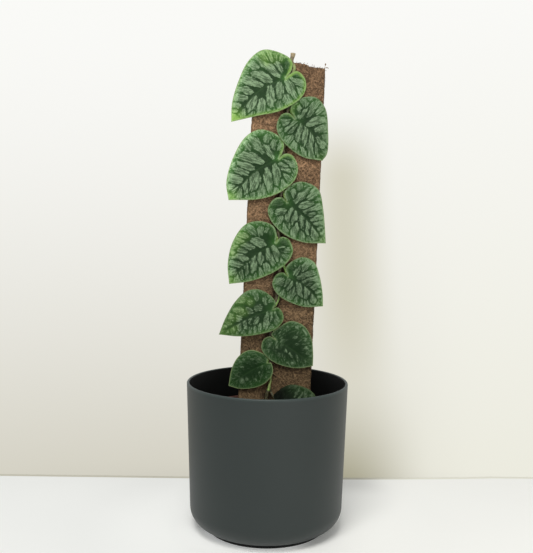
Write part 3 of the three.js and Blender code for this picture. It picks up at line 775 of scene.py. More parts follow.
def make_cover_pot(look):
    """The cover pot, a little fuller than the solid, on a stand that shows as a line under it; stand and
    inside are painted near-black as shade.
    """
    rim = POT_WALL / 2
    lip = POT_RIM_RADIUS + POT_PROUD - rim
    high = POT_HEIGHT - rim
    turning = POT_FOOT_RADIUS + POT_FOOT_PROUD - POT_ROUNDING
    low = POT_ROUNDING + POT_FOOT_GAP
    stand = [(0, 0), (POT_STAND_RADIUS - POT_STAND_EDGE, 0), (POT_STAND_RADIUS, POT_STAND_EDGE)]
    turn = math.degrees(math.acos((POT_STAND_RADIUS - turning) / POT_ROUNDING))
    outside = stand + arc(turning, low, POT_ROUNDING, -turn, 0, 20)
    for step in range(1, POT_WALL_STEPS):
        share = step / POT_WALL_STEPS
        proud = blend(POT_FOOT_PROUD, POT_PROUD, share)
        outside.append((blend(POT_FOOT_RADIUS, POT_RIM_RADIUS, share) + proud, blend(low, high, share)))
    outside += arc(lip, high, rim, 0, 120, 10)
    inside = arc(lip, high, rim, 140, 180, 4)
    flat = POT_FOOT_RADIUS - POT_EDGE_RADIUS
    inside += arc(flat, POT_EDGE_RADIUS, POT_EDGE_RADIUS - POT_WALL, 0, -90, 12)
    inside += [(0, POT_WALL)]
    # The stand and the inside, from the rim's inner edge down, take the near-black finish: painted shade
    finishes = [1] * len(stand) + [0] * (len(outside) - len(stand)) + [1] * (len(inside) - 1)
    shape = Shape()
    shape.turned(outside + inside, look.pot_sides, finishes)
    materials = plastic("pot", 0.5, wall=look.pot_wall, inside=look.pot_inside_shade)
    return shape.piece("cover_pot_shell", "cover_pot", materials, "cover_pot")


def nursery_inside(height):
    """Radius of the nursery pot's inside at a height."""
    share = (height - NURSERY_FLOOR) / (NURSERY_TOP - NURSERY_FLOOR)
    return blend(NURSERY_FOOT_RADIUS, NURSERY_RIM_RADIUS, share) - NURSERY_WALL


def make_nursery_pot(look):
    """The nursery pot with its lip and the drain holes in its floor."""
    low = NURSERY_TOP - NURSERY_LIP_HEIGHT
    wall = nursery_inside(low) + NURSERY_WALL
    lip = NURSERY_RIM_RADIUS + NURSERY_LIP
    mouth = NURSERY_RIM_RADIUS - NURSERY_WALL
    floor = NURSERY_FLOOR + NURSERY_WALL
    profile = [
        (0, NURSERY_FLOOR),
        (NURSERY_FOOT_RADIUS - NURSERY_BEVEL, NURSERY_FLOOR),
        (NURSERY_FOOT_RADIUS, NURSERY_FLOOR + NURSERY_BEVEL),
        (wall, low),
        (wall + NURSERY_LIP - NURSERY_EDGE, low),
        (wall + NURSERY_LIP, low + NURSERY_EDGE),
        (lip, NURSERY_TOP - NURSERY_EDGE),
        (lip - NURSERY_EDGE, NURSERY_TOP),
        (mouth + NURSERY_EDGE, NURSERY_TOP),
        (mouth, NURSERY_TOP - NURSERY_EDGE),
        (nursery_inside(floor), floor),
        (0, floor),
    ]
    shape = Shape()
    shape.turned(profile, NURSERY_SIDES)
    drain = Shape()
    for x, y, _ in circle(DRAIN_CIRCLE_RADIUS, 0, DRAIN_HOLES):
        drain.prism(*(circle(DRAIN_HOLE_RADIUS, height, DRAIN_SIDES, (x, y)) for height in DRAIN_CUT))
    materials = plastic("nursery", 0.55, wall=look.nursery_wall)
    made = shape.piece("nursery_pot_shell", "nursery_pot", materials, "nursery_pot", flat=True)
    cut_away(made, drain)
    return made


def cut_away(piece, shape):
    """Cuts a closed shape out of a piece."""
    mesh = bpy.data.meshes.new("cutter")
    mesh.from_pydata(shape.corners, [], shape.faces)
    cutter = bpy.data.objects.new("cutter", mesh)
    bpy.context.scene.collection.objects.link(cutter)
    cut = piece.modifiers.new("cut", "BOOLEAN")
    cut.operation = "DIFFERENCE"
    cut.solver = "EXACT"
    cut.object = cutter
    bpy.context.view_layer.update()
    result = bpy.data.meshes.new_from_object(piece.evaluated_get(bpy.context.evaluated_depsgraph_get()))
    piece.modifiers.clear()
    if len(result.polygons) <= len(piece.data.polygons) // 2:
        raise RuntimeError(f"the cut in {piece.name} failed")
    result.name = piece.name
    piece.data = result
    bpy.data.objects.remove(cutter)


def soil_paint(look):
    paint = Paint("potting_mix_finish")
    place = paint.place()
    clods = paint.noise(place, 220, 4, 0.65)
    chips = paint.node("ShaderNodeTexVoronoi", {"feature": "F1"}, {"Vector": place, "Scale": 330})
    tint = paint.mix(look.mix_dark, look.mix_light, paint.ease(clods, 0.42, 0.66))
    tint = paint.shade(tint, 0.7 + chips * 0.9)
    sockets = {
        "Base Color": tint,
        "Roughness": 0.95,
        "Normal": paint.bump(clods - chips * 0.4, 0.0012, 0.8),
    }
    return paint.finish(sockets)


def mix_height(x, y):
    """Top of the potting mix, lumpy, in millimetres."""
    lumps = noise.noise(Vector((x, y, 0)) / 14) * 2.2 + noise.noise(Vector((x, y, 9)) / 5) * 1.1
    return MIX_HIGH + lumps - 0.6


def make_potting_mix(look):
    """The lumpy potting mix, with a slot for the board and a hole for the stem."""
    shape = Shape()
    rings = [[shape.corner((0, 0, mix_height(0, 0)))] * MIX_SIDES]
    reach = nursery_inside(MIX_HIGH) - MIX_CLEARANCE
    for ring in range(1, MIX_RINGS + 1):
        drop = MIX_EDGE_DROP * (ring == MIX_RINGS)
        around = circle(reach * ring / MIX_RINGS, 0, MIX_SIDES)
        rings.append([shape.corner((x, y, mix_height(x, y) - drop)) for x, y, _ in around])
    around = circle(nursery_inside(MIX_LOW) - MIX_CLEARANCE, MIX_LOW, MIX_SIDES)
    rings.append([shape.corner(point) for point in around])
    rings.append([shape.corner((0, 0, MIX_LOW))] * MIX_SIDES)
    for inner, outer in zip(rings, rings[1:]):
        shape.band(inner, outer)
    soil = soil_paint(look)
    made = shape.piece("potting_mix_body", "potting_mix", [soil], "potting_mix")
    slot = Shape(BOARD_PLACE)
    side, back = BOARD_WIDTH / 2 + GAP, -BOARD_THICKNESS - GAP
    section = ((-side, GAP), (side, GAP), (side, back), (-side, back))
    slot.prism(*([(x, along, out) for x, out in section] for along in (SLOT_FOOT, BOARD_RIGHT_TOP)))
    cut_away(made, slot)
    hole = Shape(BOARD_PLACE)
    points = [Vector((stem_across(along), along, STEM_OUT)) for along in STEM_HOLE]
    wide = [2 * (STEM_RADIUS + NODE_SWELLING + GAP)] * len(points)
    hole.rod(points, wide, wide, 16)
    cut_away(made, hole)
    make_crumbs(look, soil)
    return made


def make_crumbs(look, soil):
    """Loose crumbs and bark chips that lie on the mix."""
    draw = random.Random(31)
    shape = Shape()
    rows = [point for height in (0.5, -0.5) for point in circle(0.87, height, CRUMB_CORNERS)]
    ball = [(0, 0, 1), (0, 0, -1), *rows]
    inverse = BOARD_PLACE.inverted()
    for _ in range(look.crumbs):
        radius = (nursery_inside(MIX_HIGH) - CRUMB_CLEARANCE) * math.sqrt(draw.random())
        turn = draw.uniform(0, 2 * math.pi)
        x, y = radius * math.cos(turn), radius * math.sin(turn)
        size = draw.uniform(*CRUMB_SIZES)
        sizes = Vector((size * draw.uniform(0.8, 1.5), size, size * draw.uniform(0.4, 0.8)))
        local = inverse @ Vector((x, y, MIX_HIGH))
        spin, roll = draw.uniform(0, math.pi), draw.uniform(-0.4, 0.4)
        turned = Matrix.Rotation(spin, 3, "Z") @ Matrix.Rotation(roll, 3, "X")
        by_board = abs(local.x) < BOARD_WIDTH / 2 + 0.5 + 2.5 * size
        if by_board and -BOARD_THICKNESS - 0.5 - 2.5 * size < local.z < 6 + 2 * size:
            continue
        base = Vector((x, y, mix_height(x, y) + sizes.z * 0.35))
        ids = []
        for away in ball:
            away = Vector((away[0] * sizes.x, away[1] * sizes.y, away[2] * sizes.z)) * draw.uniform(0.75, 1.2)
            ids.append(shape.corner(base + turned @ away))
        top, bottom, upper, lower = ids[0], ids[1], ids[2 : 2 + CRUMB_CORNERS], ids[2 + CRUMB_CORNERS :]
        for k in range(CRUMB_CORNERS):
            n = (k + 1) % CRUMB_CORNERS
            shape.face((top, upper[k], upper[n]))
            shape.face((upper[k], lower[k], lower[n], upper[n]))
            shape.face((bottom, lower[n], lower[k]))
    return shape.piece("potting_mix_crumbs", "potting_mix", [soil], flat=True)


def coir_paint(look, name, lighter, with_painted_shade=False):
    """Pressed coconut fibre: crossed fibres and dark pits, darker towards the pot (damper coir and painted
    shade), with painted shade along its edges and by the stem.
    """
    paint = Paint(name)
    place = paint.place()
    height = paint.split(place)[2]
    first = paint.noise(paint.along_fibres(place, 0.5, 3.0), 760, 3, 0.6)
    second = paint.noise(paint.along_fibres(place, -0.8, 3.0), 700, 3, 0.6)
    third = paint.noise(paint.along_fibres(place, 1.6, 2.0), 620, 3, 0.6)
    pits = paint.noise(place, 520, 3, 0.6)
    cloud = paint.noise(place, 40, 3, 0.5)
    fibres = paint.larger(paint.larger(first, second), third)
    # Darker towards the pot: partly damper coir, partly painted shade
    tint = paint.mix(look.coir_low, look.coir_high, paint.ease(height, 0.13, 0.46))
    light = (0.36 + paint.ease(fibres, 0.5, 0.7) * 0.74 + paint.ease(cloud, 0.3, 0.7) * 0.2) * lighter
    light = light * (0.52 + paint.ease(pits, 0.34, 0.52) * 0.5) * (1 - paint.ease(height, 0.485, 0.51) * 0.2)
    light = light * (1 + (paint.ease(height, 0.4, 0.44) - paint.ease(height, 0.455, 0.47)) * 0.3)
    light = light * (1 - paint.ease(height, 0.37, 0.33) * paint.ease(height, 0.14, 0.17) * 0.09)
    # Painted shade: darker along the board's edges, and in a band by the stem under the leaves and at the
    # stem's foot
    if with_painted_shade:
        from_edge, from_stem = paint.map("edge")
        light = light * (0.6 + paint.ease(from_edge + (pits - 0.5) * 0.2, 0.03, 0.16) * 0.4)
        stem_shade_heights = paint.ease(height, 0.17, 0.2) * paint.ease(height, 0.51, 0.49)
        stem_shade_heights = stem_shade_heights + paint.ease(height, 0.162, 0.155)
        light = light * (1 - paint.ease(from_stem + (pits - 0.5) * 0.6, 0.9, 0.3) * stem_shade_heights * 0.75)
    sockets = {
        "Base Color": paint.shade(tint, light),
        "Specular IOR Level": 0.2,
        "Roughness": 0.93,
        "Normal": paint.bump(fibres + pits, 0.0009, 0.8),
    }
    return paint.finish(sockets)


def board_top(across):
    """Height of the board's frayed top edge."""
    share = across / BOARD_WIDTH + 0.5
    fray = noise.noise(Vector((across / 2.6, 3, 0))) * 0.9 + noise.noise(Vector((across / 9, 7, 0))) * 0.7
    top = blend(BOARD_LEFT_TOP, BOARD_RIGHT_TOP, share) + TOP_STEP_HEIGHT * ease(across, *TOP_STEP)
    return top + fray - 0.5


def make_coir_board(look):
    """The board as a rough block of fine cells with rounded edges and a frayed top."""
    shape = Shape(BOARD_PLACE)
    cells = BOARD_CELLS
    half = BOARD_WIDTH / 2
    ids, from_edge, from_stem = {}, {}, {}

    def corner(i, j, k):
        if (i, j, k) in ids:
            return ids[i, j, k]
        across = blend(-half, half, i / cells[0])
        out = blend(-BOARD_THICKNESS, 0, j / cells[1])
        top = board_top(across)
        along = blend(BOARD_FOOT, top, k / cells[2])
        inner = Vector(
            (
                clamp(across, -half + BOARD_ROUNDING, half - BOARD_ROUNDING),
                clamp(along, BOARD_FOOT + BOARD_ROUNDING, top - BOARD_ROUNDING),
                clamp(out, BOARD_ROUNDING - BOARD_THICKNESS, -BOARD_ROUNDING),
            )
        )
        at = Vector((across, along, out))
        away = (at - inner).normalized()
        rough = noise.noise(at / 2.2) * 0.28 + noise.noise(at / 8) * 0.22 - BOARD_ROUGHNESS
        made = shape.corner(inner + away * (BOARD_ROUNDING + rough))
        from_edge[made] = min(half - abs(across), top - along) / CM
        from_stem[made] = abs(across - stem_across(along)) / CM
        ids[i, j, k] = made
        return made

    def skin(fixed, value, first, second, flip):
        """One of the six sides. Only the front knows its distance from the stem, for the painted shade beside
        it.
        """
        front = fixed == 1 and value > 0
        for a in range(cells[first]):
            for b in range(cells[second]):
                face = []
                for da, db in ((0, 0), (1, 0), (1, 1), (0, 1)):
                    key = [0, 0, 0]
                    key[fixed], key[first], key[second] = value, a + da, b + db
                    face.append(corner(*key))
                face = face[::-1] if flip else face
                to_edge = [from_edge[i] if fixed == 1 else 1.0 for i in face]
                to_stem = [from_stem[i] if front else 3.0 for i in face]
                shape.face(face, edge=zip(to_edge, to_stem))

    for fixed, first, second in ((0, 1, 2), (1, 0, 2), (2, 0, 1)):
        # The board's frame is right-handed as across, along, out, while the cells run across, out, along
        turned = fixed != 1
        skin(fixed, 0, first, second, not turned)
        skin(fixed, cells[fixed], first, second, turned)
    coir = coir_paint(look, "coir_finish", 1.0, True)
    board = shape.piece("coir_board_slab", "coir_board", [coir], "coir_board")
    make_coir_fibres(look)
    return board


def make_coir_fibres(look):
    """Loose fibres on the board's faces, along its edges and over its top."""
    draw = random.Random(57)
    shape = Shape(BOARD_PLACE)
    for _ in range(look.coir_fibres):
        lay_fibre(shape, draw)
    for _ in range(look.fray_fibres):
        raise_fibre_end(shape, draw)
    for line, widths in (CORNER_CRUMB, CORNER_WISP):
        shape.rod([Vector(point) for point in line], widths, widths, 6)
    materials = [coir_paint(look, "coir_fibre_finish", 1.25)]
    return shape.piece("coir_board_fibres", "coir_board", materials)


def lay_fibre(shape, draw):
    """A fibre that lies on the front, the back or a side of the board."""
    half = BOARD_WIDTH / 2
    face = draw.random()
    across = draw.uniform(-half, half)
    along = draw.uniform(BOARD_FOOT + 3, BOARD_RIGHT_TOP - 3)
    length = draw.uniform(4, 15)
    turn = draw.gauss(0.5, 0.9)
    bend = draw.uniform(-0.8, 0.8)
    points = []
    for step in range(FIBRE_STEPS + 1):
        share = step / FIBRE_STEPS - 0.5
        way = turn + bend * share
        aside, up = math.cos(way) * length * share, math.sin(way) * length * share
        lift = 0.18 * math.cos(share * 3)
        beside = clamp(across + aside, -half, half)
        if face < 0.5:
            place = (beside, along + up, lift - 0.15)
        elif face < 0.72:
            place = (beside, along + up, -BOARD_THICKNESS - lift + 0.15)
        else:
            side = 1 if face < 0.86 else -1
            out = clamp(-BOARD_THICKNESS / 2 + (across / half) * 7 + aside * 0.6, -14.4, -0.6)
            place = (side * (half + lift - 0.1), along + up, out)
        points.append(Vector(place))
    widths = [draw.uniform(0.18, 0.4)] * len(points)
    shape.rod(points, widths, widths, 3)


def raise_fibre_end(shape, draw):
    """A fibre end that sticks up out of the board's top."""
    half = BOARD_WIDTH / 2
    across = draw.uniform(-half + 1, half - 0.5)
    out = draw.uniform(-BOARD_THICKNESS + 1, -0.6)
    base = Vector((across, board_top(across) - 1.2, out))
    length = draw.uniform(1.2, 4.2)
    way = draw.uniform(-1.3, 1.3)
    tilt = draw.uniform(-0.5, 0.5)
    points = []
    for step in range(FRAY_STEPS + 1):
        share = step / FRAY_STEPS
        bent = way * (0.5 + share)
        upwards = Vector((math.sin(bent), math.cos(bent), math.sin(tilt) * 0.6))
        points.append(base + upwards * (length * share))
    widths = [draw.uniform(0.2, 0.45)] * len(points)
    shape.rod(points, widths, widths, 4)


def vine_paint(look):
    """Stem bark, green petioles and the pale cut end, picked by the tone that the mesh carries."""
    paint = Paint("vine_finish")
    place = paint.place()
    tone, cut = paint.map("tone")
    mottle = paint.noise(place, 500, 4, 0.6)
    streak = paint.noise(paint.along_fibres(place, 1.57, 4.0), 900, 2, 0.5)
    bark = paint.mix(look.stem_dark, look.stem_light, paint.ease(mottle, 0.4, 0.62))
    green = paint.mix(look.petiole_dark, look.petiole_light, paint.ease(streak, 0.35, 0.65))
    tint = paint.mix(bark, green, paint.ease(tone, 0.2, 0.8))
    tint = paint.mix(tint, look.cut_end, paint.ease(cut + (mottle - 0.5) * 0.3, 0.2, 0.8))
    tint = paint.mix(tint, look.root, paint.ease(tone, -0.2, -0.8))
    sockets = {
        "Base Color": tint,
        "Roughness": 0.5 + mottle * 0.2,
        "Normal": paint.bump(mottle + streak, 0.0004, 0.5),
    }
    return paint.finish(sockets)


def make_vine(look):
    """The stem with its petioles and clasping roots, as one piece."""
    shape = Shape(BOARD_PLACE)
    points, widths, tones = [], [], []
    top = CUT_TOP[1]
    along = top
    while along > STEM_FOOT[-1][1]:
        nearest = min(abs(leaf["node"][1] - along) for leaf in LEAVES)
        swelling = NODE_SWELLING * math.exp(-((nearest / NODE_REACH) ** 2))
        ring = NODE_RING * math.exp(-((nearest / NODE_RING_REACH) ** 2))
        radius = blend(STEM_RADIUS + swelling + ring, CUT_TOP_RADIUS, ease(along, top - CUT_FLARE, top))
        foot = math.prod(ease(along, *ends) for ends in PALE_FOOT)
        points.append(Vector((stem_across(along), along, STEM_OUT)))
        widths.append(2 * radius * (1 - 0.3 * foot))
        cut = max(ease(along, top - 7, top - 2), 0.5 * ease(along, *PALE_TOP), 0.42 * foot)
        tones.append((foot, cut))
        along -= STEM_STEP
    shape.rod(points, widths, widths, STEM_SIDES, tones)
    for leaf in LEAVES:
        make_petiole(shape, leaf)
    draw = random.Random(12)
    for leaf in LEAVES:
        for k in range(ROOTS_PER_LEAF):
            make_root(shape, draw, leaf["notch"][1] - ROOT_SPACING * k, 1 if k % 2 == 0 else -1)
    return shape.piece("vine", "vine_stem", [vine_paint(look)], "vine_stem")


def make_petiole(shape, leaf):
    end = blade_back(leaf, *leaf["notch"]) - GAP - PETIOLE_DEPTH / 2
    through = [(*leaf["node"], STEM_OUT), (*leaf["elbow"], PETIOLE_ELBOW_OUT), (*leaf["notch"], end)]
    line = even_points(curve_through(through), PETIOLE_STEPS)
    steps = range(PETIOLE_STEPS + 1)
    widths = [leaf["wide"] * (PETIOLE_WIDTH - PETIOLE_TAPER * step / PETIOLE_STEPS) for step in steps]
    tones = [(leaf["petiole"] * ease(step, 0, 6), leaf["cream"]) for step in steps]
    shape.rod(line, widths, [PETIOLE_DEPTH] * len(line), 12, tones)


def make_root(shape, draw, along, side):
    across = stem_across(along)
    reach = side * ROOT_REACH * (1 - 0.4 * draw.random())
    drop = ROOT_DROP * draw.random()
    rest = GAP + ROOT_WIDTH / 2
    through = [
        (across, along, STEM_OUT),
        (across + reach / 2, along - drop / 4, rest),
        (across + reach, along - drop, rest),
    ]
    line = even_points(curve_through(through), ROOT_STEPS)
    widths = [ROOT_WIDTH * (1 - ROOT_TAPER * step) for step in range(ROOT_STEPS + 1)]
    tones = [(-ease(step, 0, 3), 0.0) for step in range(ROOT_STEPS + 1)]
    shape.rod(line, widths, widths, 8, tones)


def leaf_paint(look, marks, name):
    """Dark green by the midrib and the veins, streaked silver panels between them and a green rim."""
    paint = Paint(name)
    place = paint.place()
    depth, tone = paint.map("panel")
    aside, along = paint.map("streak")
    from_midrib, from_margin = paint.map("rib")
    young, glow = paint.map("tint")
    lit = paint.map("lit")[0]
    wobble = paint.noise(place, 330, 3, 0.55)
    fine = paint.noise(place, 1100, 2, 0.5)
    patch = paint.noise(place, 120, 2, 0.5)
    sway, grain = wobble - 0.5, fine - 0.5

    # Panels, their streaks and flecks, and the veil of a dark leaf
    fibre = paint.noise(paint.join(aside * 7.5, along * 1.1, tone * 40), 1.0, 2, 0.6)
    edge = paint.smaller(depth, from_midrib - 0.1) + (fibre - 0.54) * 0.32 + sway * 0.2 + grain * 0.12
    panel = paint.ease(edge, -0.06, 0.05)
    streaks = paint.ease(fibre + grain * 0.35 + sway * 0.2, 0.38, 0.63)
    silver = (0.05 + panel * 0.95) * (0.25 + streaks * 0.75) * paint.ease(tone, 0, 0.95)
    flecks = paint.ease(wobble + grain * 0.5, 0.44, 0.58)
    silver = silver * (1 - marks["flecks"] + flecks * marks["flecks"])
    silver = silver * marks["silver"] * paint.ease(from_margin + sway * 0.14, 0.18, 0.26)
    if marks["veil"]:
        broad = paint.noise(paint.join(aside * 3.4, along * 0.7, tone * 40), 1.0, 2, 0.6)
        veil = paint.ease(broad + grain * 0.15, 0.48, 0.68) * paint.ease(from_margin + sway * 0.6, 1.7, 0.6)
        silver = paint.larger(silver, veil * marks["veil"])

    # Silver specks along the margin, and a painted highlight: paler silver where the blade catches the light
    specks = paint.ease(wobble + grain * 0.6, 0.38, 0.52) * paint.ease(from_margin + grain * 0.1, 0.22, 0.16)
    silver = paint.larger(silver, specks * marks["silver"] ** 6 * 0.65)
    silver_painted_highlight = lit * paint.ease(wobble + grain * 0.6, 0.36, 0.56) * paint.ease(from_margin, 0.04, 0.14)
    silver_painted_highlight = silver_painted_highlight * paint.ease(edge, -0.16, -0.02)
    silver = silver + (1 - silver) * silver_painted_highlight * marks["silver"] * 0.42

    # Green from the midrib out to the rim, then yellower where the leaf is young
    outwards = paint.ease(from_midrib + sway * 1.2, 0.7, 3.2) * 0.5
    outwards = (outwards + paint.ease(from_margin + sway * 0.4, 1.4, 0.2) * 0.5) * marks["even"]
    green = paint.mix(look.leaf_dark, look.leaf_green, outwards)
    green = paint.mix(green, look.leaf_rim, paint.ease(from_margin, 0.3, 0.05) * 0.4)
    green = paint.mix(green, look.leaf_rim, paint.ease(from_midrib + grain * 0.06, 0.13, 0.02) * 0.15)
    young = paint.smaller(young * (0.7 + patch * 0.6), 1.0)
    green = paint.mix(green, look.leaf_young, young * 0.8)
    tint = paint.mix(green, paint.mix(look.leaf_silver, look.leaf_silver_young, young), silver)

    # The bright notch and tip, the pale line along the edge, and the light as a whole: each leaf's level of
    # painted shade, a painted highlight where it catches the light, and painted shade over part of a shaded
    # leaf
    bright = paint.ease(glow + sway * 1.3 + grain * 0.5, 0.15, 0.95)
    yellow = paint.mix(look.leaf_rim, look.leaf_glow, marks["young"] * 0.8 + 0.2)
    tint = paint.mix(tint, yellow, bright * (1 - silver * 0.65) * marks["glow"])
    outline = paint.ease(from_margin + grain * 0.04, 0.1, 0.05)
    tint = paint.mix(tint, look.leaf_edge, outline * marks["rim"])
    light = (0.76 + patch * 0.2 + fine * 0.3) * marks["light"] * (1 + lit * marks["lift"])
    if marks["shade"]:
        light = light * (0.12 + paint.ease(paint.split(place)[0], *marks["shade"]) * 1.4)
    sockets = {
        "Base Color": paint.shade(tint, light),
        "Specular IOR Level": marks["gloss"],
        "Roughness": 0.52 - silver * 0.08 + fine * 0.06,
        "Normal": paint.bump(panel * 0.45 + silver * 0.4 + fine * 0.15, 0.0003, 0.6),
    }
    return paint.finish(sockets)


def underside_paint(look):
    """Pale dull green, a little lighter along the veins."""
    paint = Paint("leaf_underside")
    depth = paint.map("panel")[0]
    cloud = paint.noise(paint.place(), 120, 3, 0.5)
    rib = paint.ease(depth, 0.02, -0.1)
    tint = paint.mix(look.leaf_under, look.leaf_edge, rib * 0.4)
    sockets = {
        "Base Color": paint.shade(tint, 0.8 + cloud * 0.4),
        "Roughness": 0.6 + cloud * 0.1,
        "Normal": paint.bump(rib + cloud * 0.3, 0.0004, 0.6),
    }
    return paint.finish(sockets)


class HalfBlade:
    """One half of a blade, addressed by row and by share of the way from the midrib to the margin."""

    def __init__(self, leaf, margin):
        steps = ROWS * FINER
        self.edge = even_points(curve_through([leaf["notch"], *leaf[margin], leaf["tip"]]), steps)
        through = [leaf["notch"], leaf["middle"], leaf["tip"]]
        self.midrib = even_points(curve_through(through), (ROWS - FAN_ROWS) * FINER)
        self.axis = (self.midrib[-1] - self.midrib[0]).normalized()

    def row(self, row):
        """Start on the midrib, bend and end on the margin of a row."""
        start = between(self.midrib, max(0.0, row - FAN_ROWS) * FINER)
        end = between(self.edge, row * FINER)
        arch = VEIN_ARCH * (end - start).length * ease(row, 1.5, 3)
        return start, start.lerp(end, 0.5) - self.axis * arch, end

    def point(self, row, share):
        start, bend, end = self.row(row)
        return start.lerp(bend, share).lerp(bend.lerp(end, share), share)


def between(points, at):
    """A point at a fractional place in a list of points."""
    low = min(int(at), len(points) - 2)
    return points[low].lerp(points[low + 1], min(at - low, 1.0))


def distance_to_strand(points, line, radii):
    """How far each point lies outside a strand that is as thick as its radii along a line."""
    best = np.full(len(points), 1e9)
    for i, (start, end) in enumerate(zip(line, line[1:])):
        way = end - start
        t = np.clip((points - start) @ way / (way @ way), 0, 1)
        off = points - (start + t[:, None] * way)
        best = np.minimum(best, np.hypot(off[:, 0], off[:, 1]) - blend(radii[i], radii[i + 1], t))
    return best


def soft_step(values, low, high):
    """ease() for a whole array."""
    share = np.clip((values - low) / (high - low), 0, 1)
    return share * share * (3 - 2 * share)


def strand_line(half, row0, out0, row1, out1):
    """Points along a panel from its inner to its outer end."""
    line = [half.point(blend(row0, row1, t), blend(out0, out1, t)) for t in STRAND_SHARES]
    return np.array([tuple(point) for point in line])


def small_panels(half, panels, draw, growth):
    """Dull little panels wherever the net of veins leaves room: along the margin, or all over a dark leaf."""
    small = []
    dark = growth < DARK_GROWTH
    usual = SMALL_DARK if dark else SMALL_LIGHT
    reach = (half.edge[-1] - half.edge[0]).length
    row = 2.5
    while row < ROWS - 0.4:
        start, _, end = half.row(row)
        length = (end - start).length
        outs = [out for out in SMALL_OUTS if out * length > 4] if dark else [1 - SMALL_INSET / length]
        for out in outs:
            row0 = row + draw.uniform(-0.15, 0.15)
            half_length, width, tone = (draw.uniform(*usual[key]) for key in ("half_length", "width", "tone"))
            if out <= 0.1:
                continue
            middle = np.array([tuple(half.point(row0, out))])
            clear = []
            for panel in panels:
                radii = [panel[4] / 2] * len(STRAND_SHARES)
                clear.append(distance_to_strand(middle, strand_line(half, *panel[:4]), radii)[0])
            if min(clear) > SMALL_CLEAR + (0 if dark else width / 2):
                way = half_length / length
                small.append((row0, out - way, row0 + 0.1, min(out + way, 1 - 1.2 / length), width, tone))
        row += usual["spacing"] * ROWS / (1.25 * reach)
    return small


def panels_at(half, panels, points, draw, growth):
    """How deep each point lies in its panel, the panel's tone, the place in it, and how young it is."""
    nearest, second = (np.full(len(points), FAR) for _ in range(2))
    tone, aside, along, young = (np.zeros(len(points)) for _ in range(4))
    for row0, out0, row1, out1, width, *kind in [*panels, *small_panels(half, panels, draw, growth)]:
        if out1 >= 0.8 and growth > DARK_GROWTH:
            out1 = min(out1 + 0.05, 0.97)
        row = (row0 + row1) / 2
        line = strand_line(half, row0, out0, row1, out1)
        widest = 0.4 if row > FAN_ROWS else 0.75
        ends = [(0.25 + 0.75 * ease(t, 0, widest), 1 - 0.3 * ease(t, 0.7, 1)) for t in STRAND_SHARES]
        outside = distance_to_strand(points, line, [width / 2 * inner * outer for inner, outer in ends])
        way = (line[-1] - line[0]) / np.hypot(*(line[-1] - line[0]))
        off = points - line[0]
        nearer = outside < nearest
        second = np.where(nearer, nearest, np.minimum(second, outside))
        nearest = np.where(nearer, outside, nearest)
        shine = (0.3 if DULL in kind else 0.8) + 0.2 * draw.random()
        shine *= blend(0.75, 1, ease(row, 4, 6.5))
        if kind and isinstance(kind[0], float):
            shine = kind[0]
        tone = np.where(nearer, shine, tone)
        aside = np.where(nearer, way[0] * off[:, 1] - way[1] * off[:, 0], aside)
        along = np.where(nearer, off @ way, along)
        if YOUNG in kind:
            young = np.maximum(young, soft_step(outside, 7, -1))
    depth = np.minimum(growth - nearest, (second - nearest) / 2 - VEIN_HALF_WIDTH)
    return depth, tone, aside, along, young


def tints(marks, side, row, from_margin, young, nearness):
    """How young and how bright a corner of a blade is, and how much painted highlight it gets where it
    catches the light.
    """
    at_tip, at_very_tip, at_notch = nearness
    on_rim = ease(from_margin, 5, 0) * (0.25 + 0.4 * side)
    youth = max(young * (0.38 + 0.24 * marks["young"]), marks["young"] * max(at_tip, on_rim))
    sinus = ease(from_margin, 6, 0.5) * ease(row, 3.4, 2) * marks["sinus"]
    lower_rim = ease(from_margin, 7 + 4 * at_tip, 0) * (0.6 + 0.3 * at_tip) * side * marks["young"] ** 2
    glow = max(at_notch * marks["notch"], sinus, lower_rim, min(marks["tip"] * at_very_tip, 1.0))
    # Painted highlight on the outer part of the upper half, at the tip and along the margin
    outer = ease(from_margin, 10, 1) * ease(row, 3.5, 6.5) * (1 - side)
    lit = max(outer, at_tip * 0.8, 0.35 * ease(from_margin, 6, 1))
    return (youth, glow), (lit, 0.0)


def nearness_to(points, end, far, near):
    """1 for points within near of one end of a leaf, 0 beyond far."""
    return soft_step(np.hypot(*(points - np.array(end)).T), far, near)


def half_grid(number, leaf, marks, side, draw, pair):
    """Rows of cells from the midrib to the margin. A cell is a corner and its numbers for the shader."""
    half = HalfBlade(leaf, ("upper", "lower")[side])
    steps = REACH_STEPS + 1
    places, rows, lengths = [], [], []
    for i in range(1, ROWS * FINER + 1):
        start, bend, end = half.row(i / FINER)
        rows.append(i / FINER)
        lengths.append((end - start).length)
        for k in range(steps):
            share = k / REACH_STEPS
            places.append(tuple(start.lerp(bend, share).lerp(bend.lerp(end, share), share)))
    points = np.array(places)
    panels = SILVER[2 * number - 2 + side]
    depth, tone, aside, along, young = panels_at(half, panels, points, draw, marks["growth"])
    edge = np.array([tuple(point) for point in half.edge])
    to_margin = distance_to_strand(points, edge, [0.0] * len(edge))
    at_tip = nearness_to(points, leaf["tip"], YOUNG_TIP * (0.7 + 0.3 * marks["tip"]), 3)
    at_very_tip = nearness_to(points, leaf["tip"], BRIGHT_TIP, 1)
    at_notch = nearness_to(points, leaf["notch"], NOTCH_GLOW, 1.5)
    grid = []
    for r, (row, length) in enumerate(zip(rows, lengths)):
        cells = []
        for k in range(steps):
            at = r * steps + k
            from_midrib, from_margin = k / REACH_STEPS * length, to_margin[at]
            lift = relief(depth[at], from_midrib, from_margin, number, places[at])
            nearness = (at_tip[at], at_very_tip[at], at_notch[at])
            numbers = (
                (depth[at] / CM, tone[at]),
                (aside[at] / CM, along[at] / CM),
                (from_midrib / CM, from_margin / CM),
                *tints(marks, side, row, from_margin, young[at], nearness),
            )
            cells.append((pair(places[at], lift), numbers))
        grid.append(cells)
    return grid


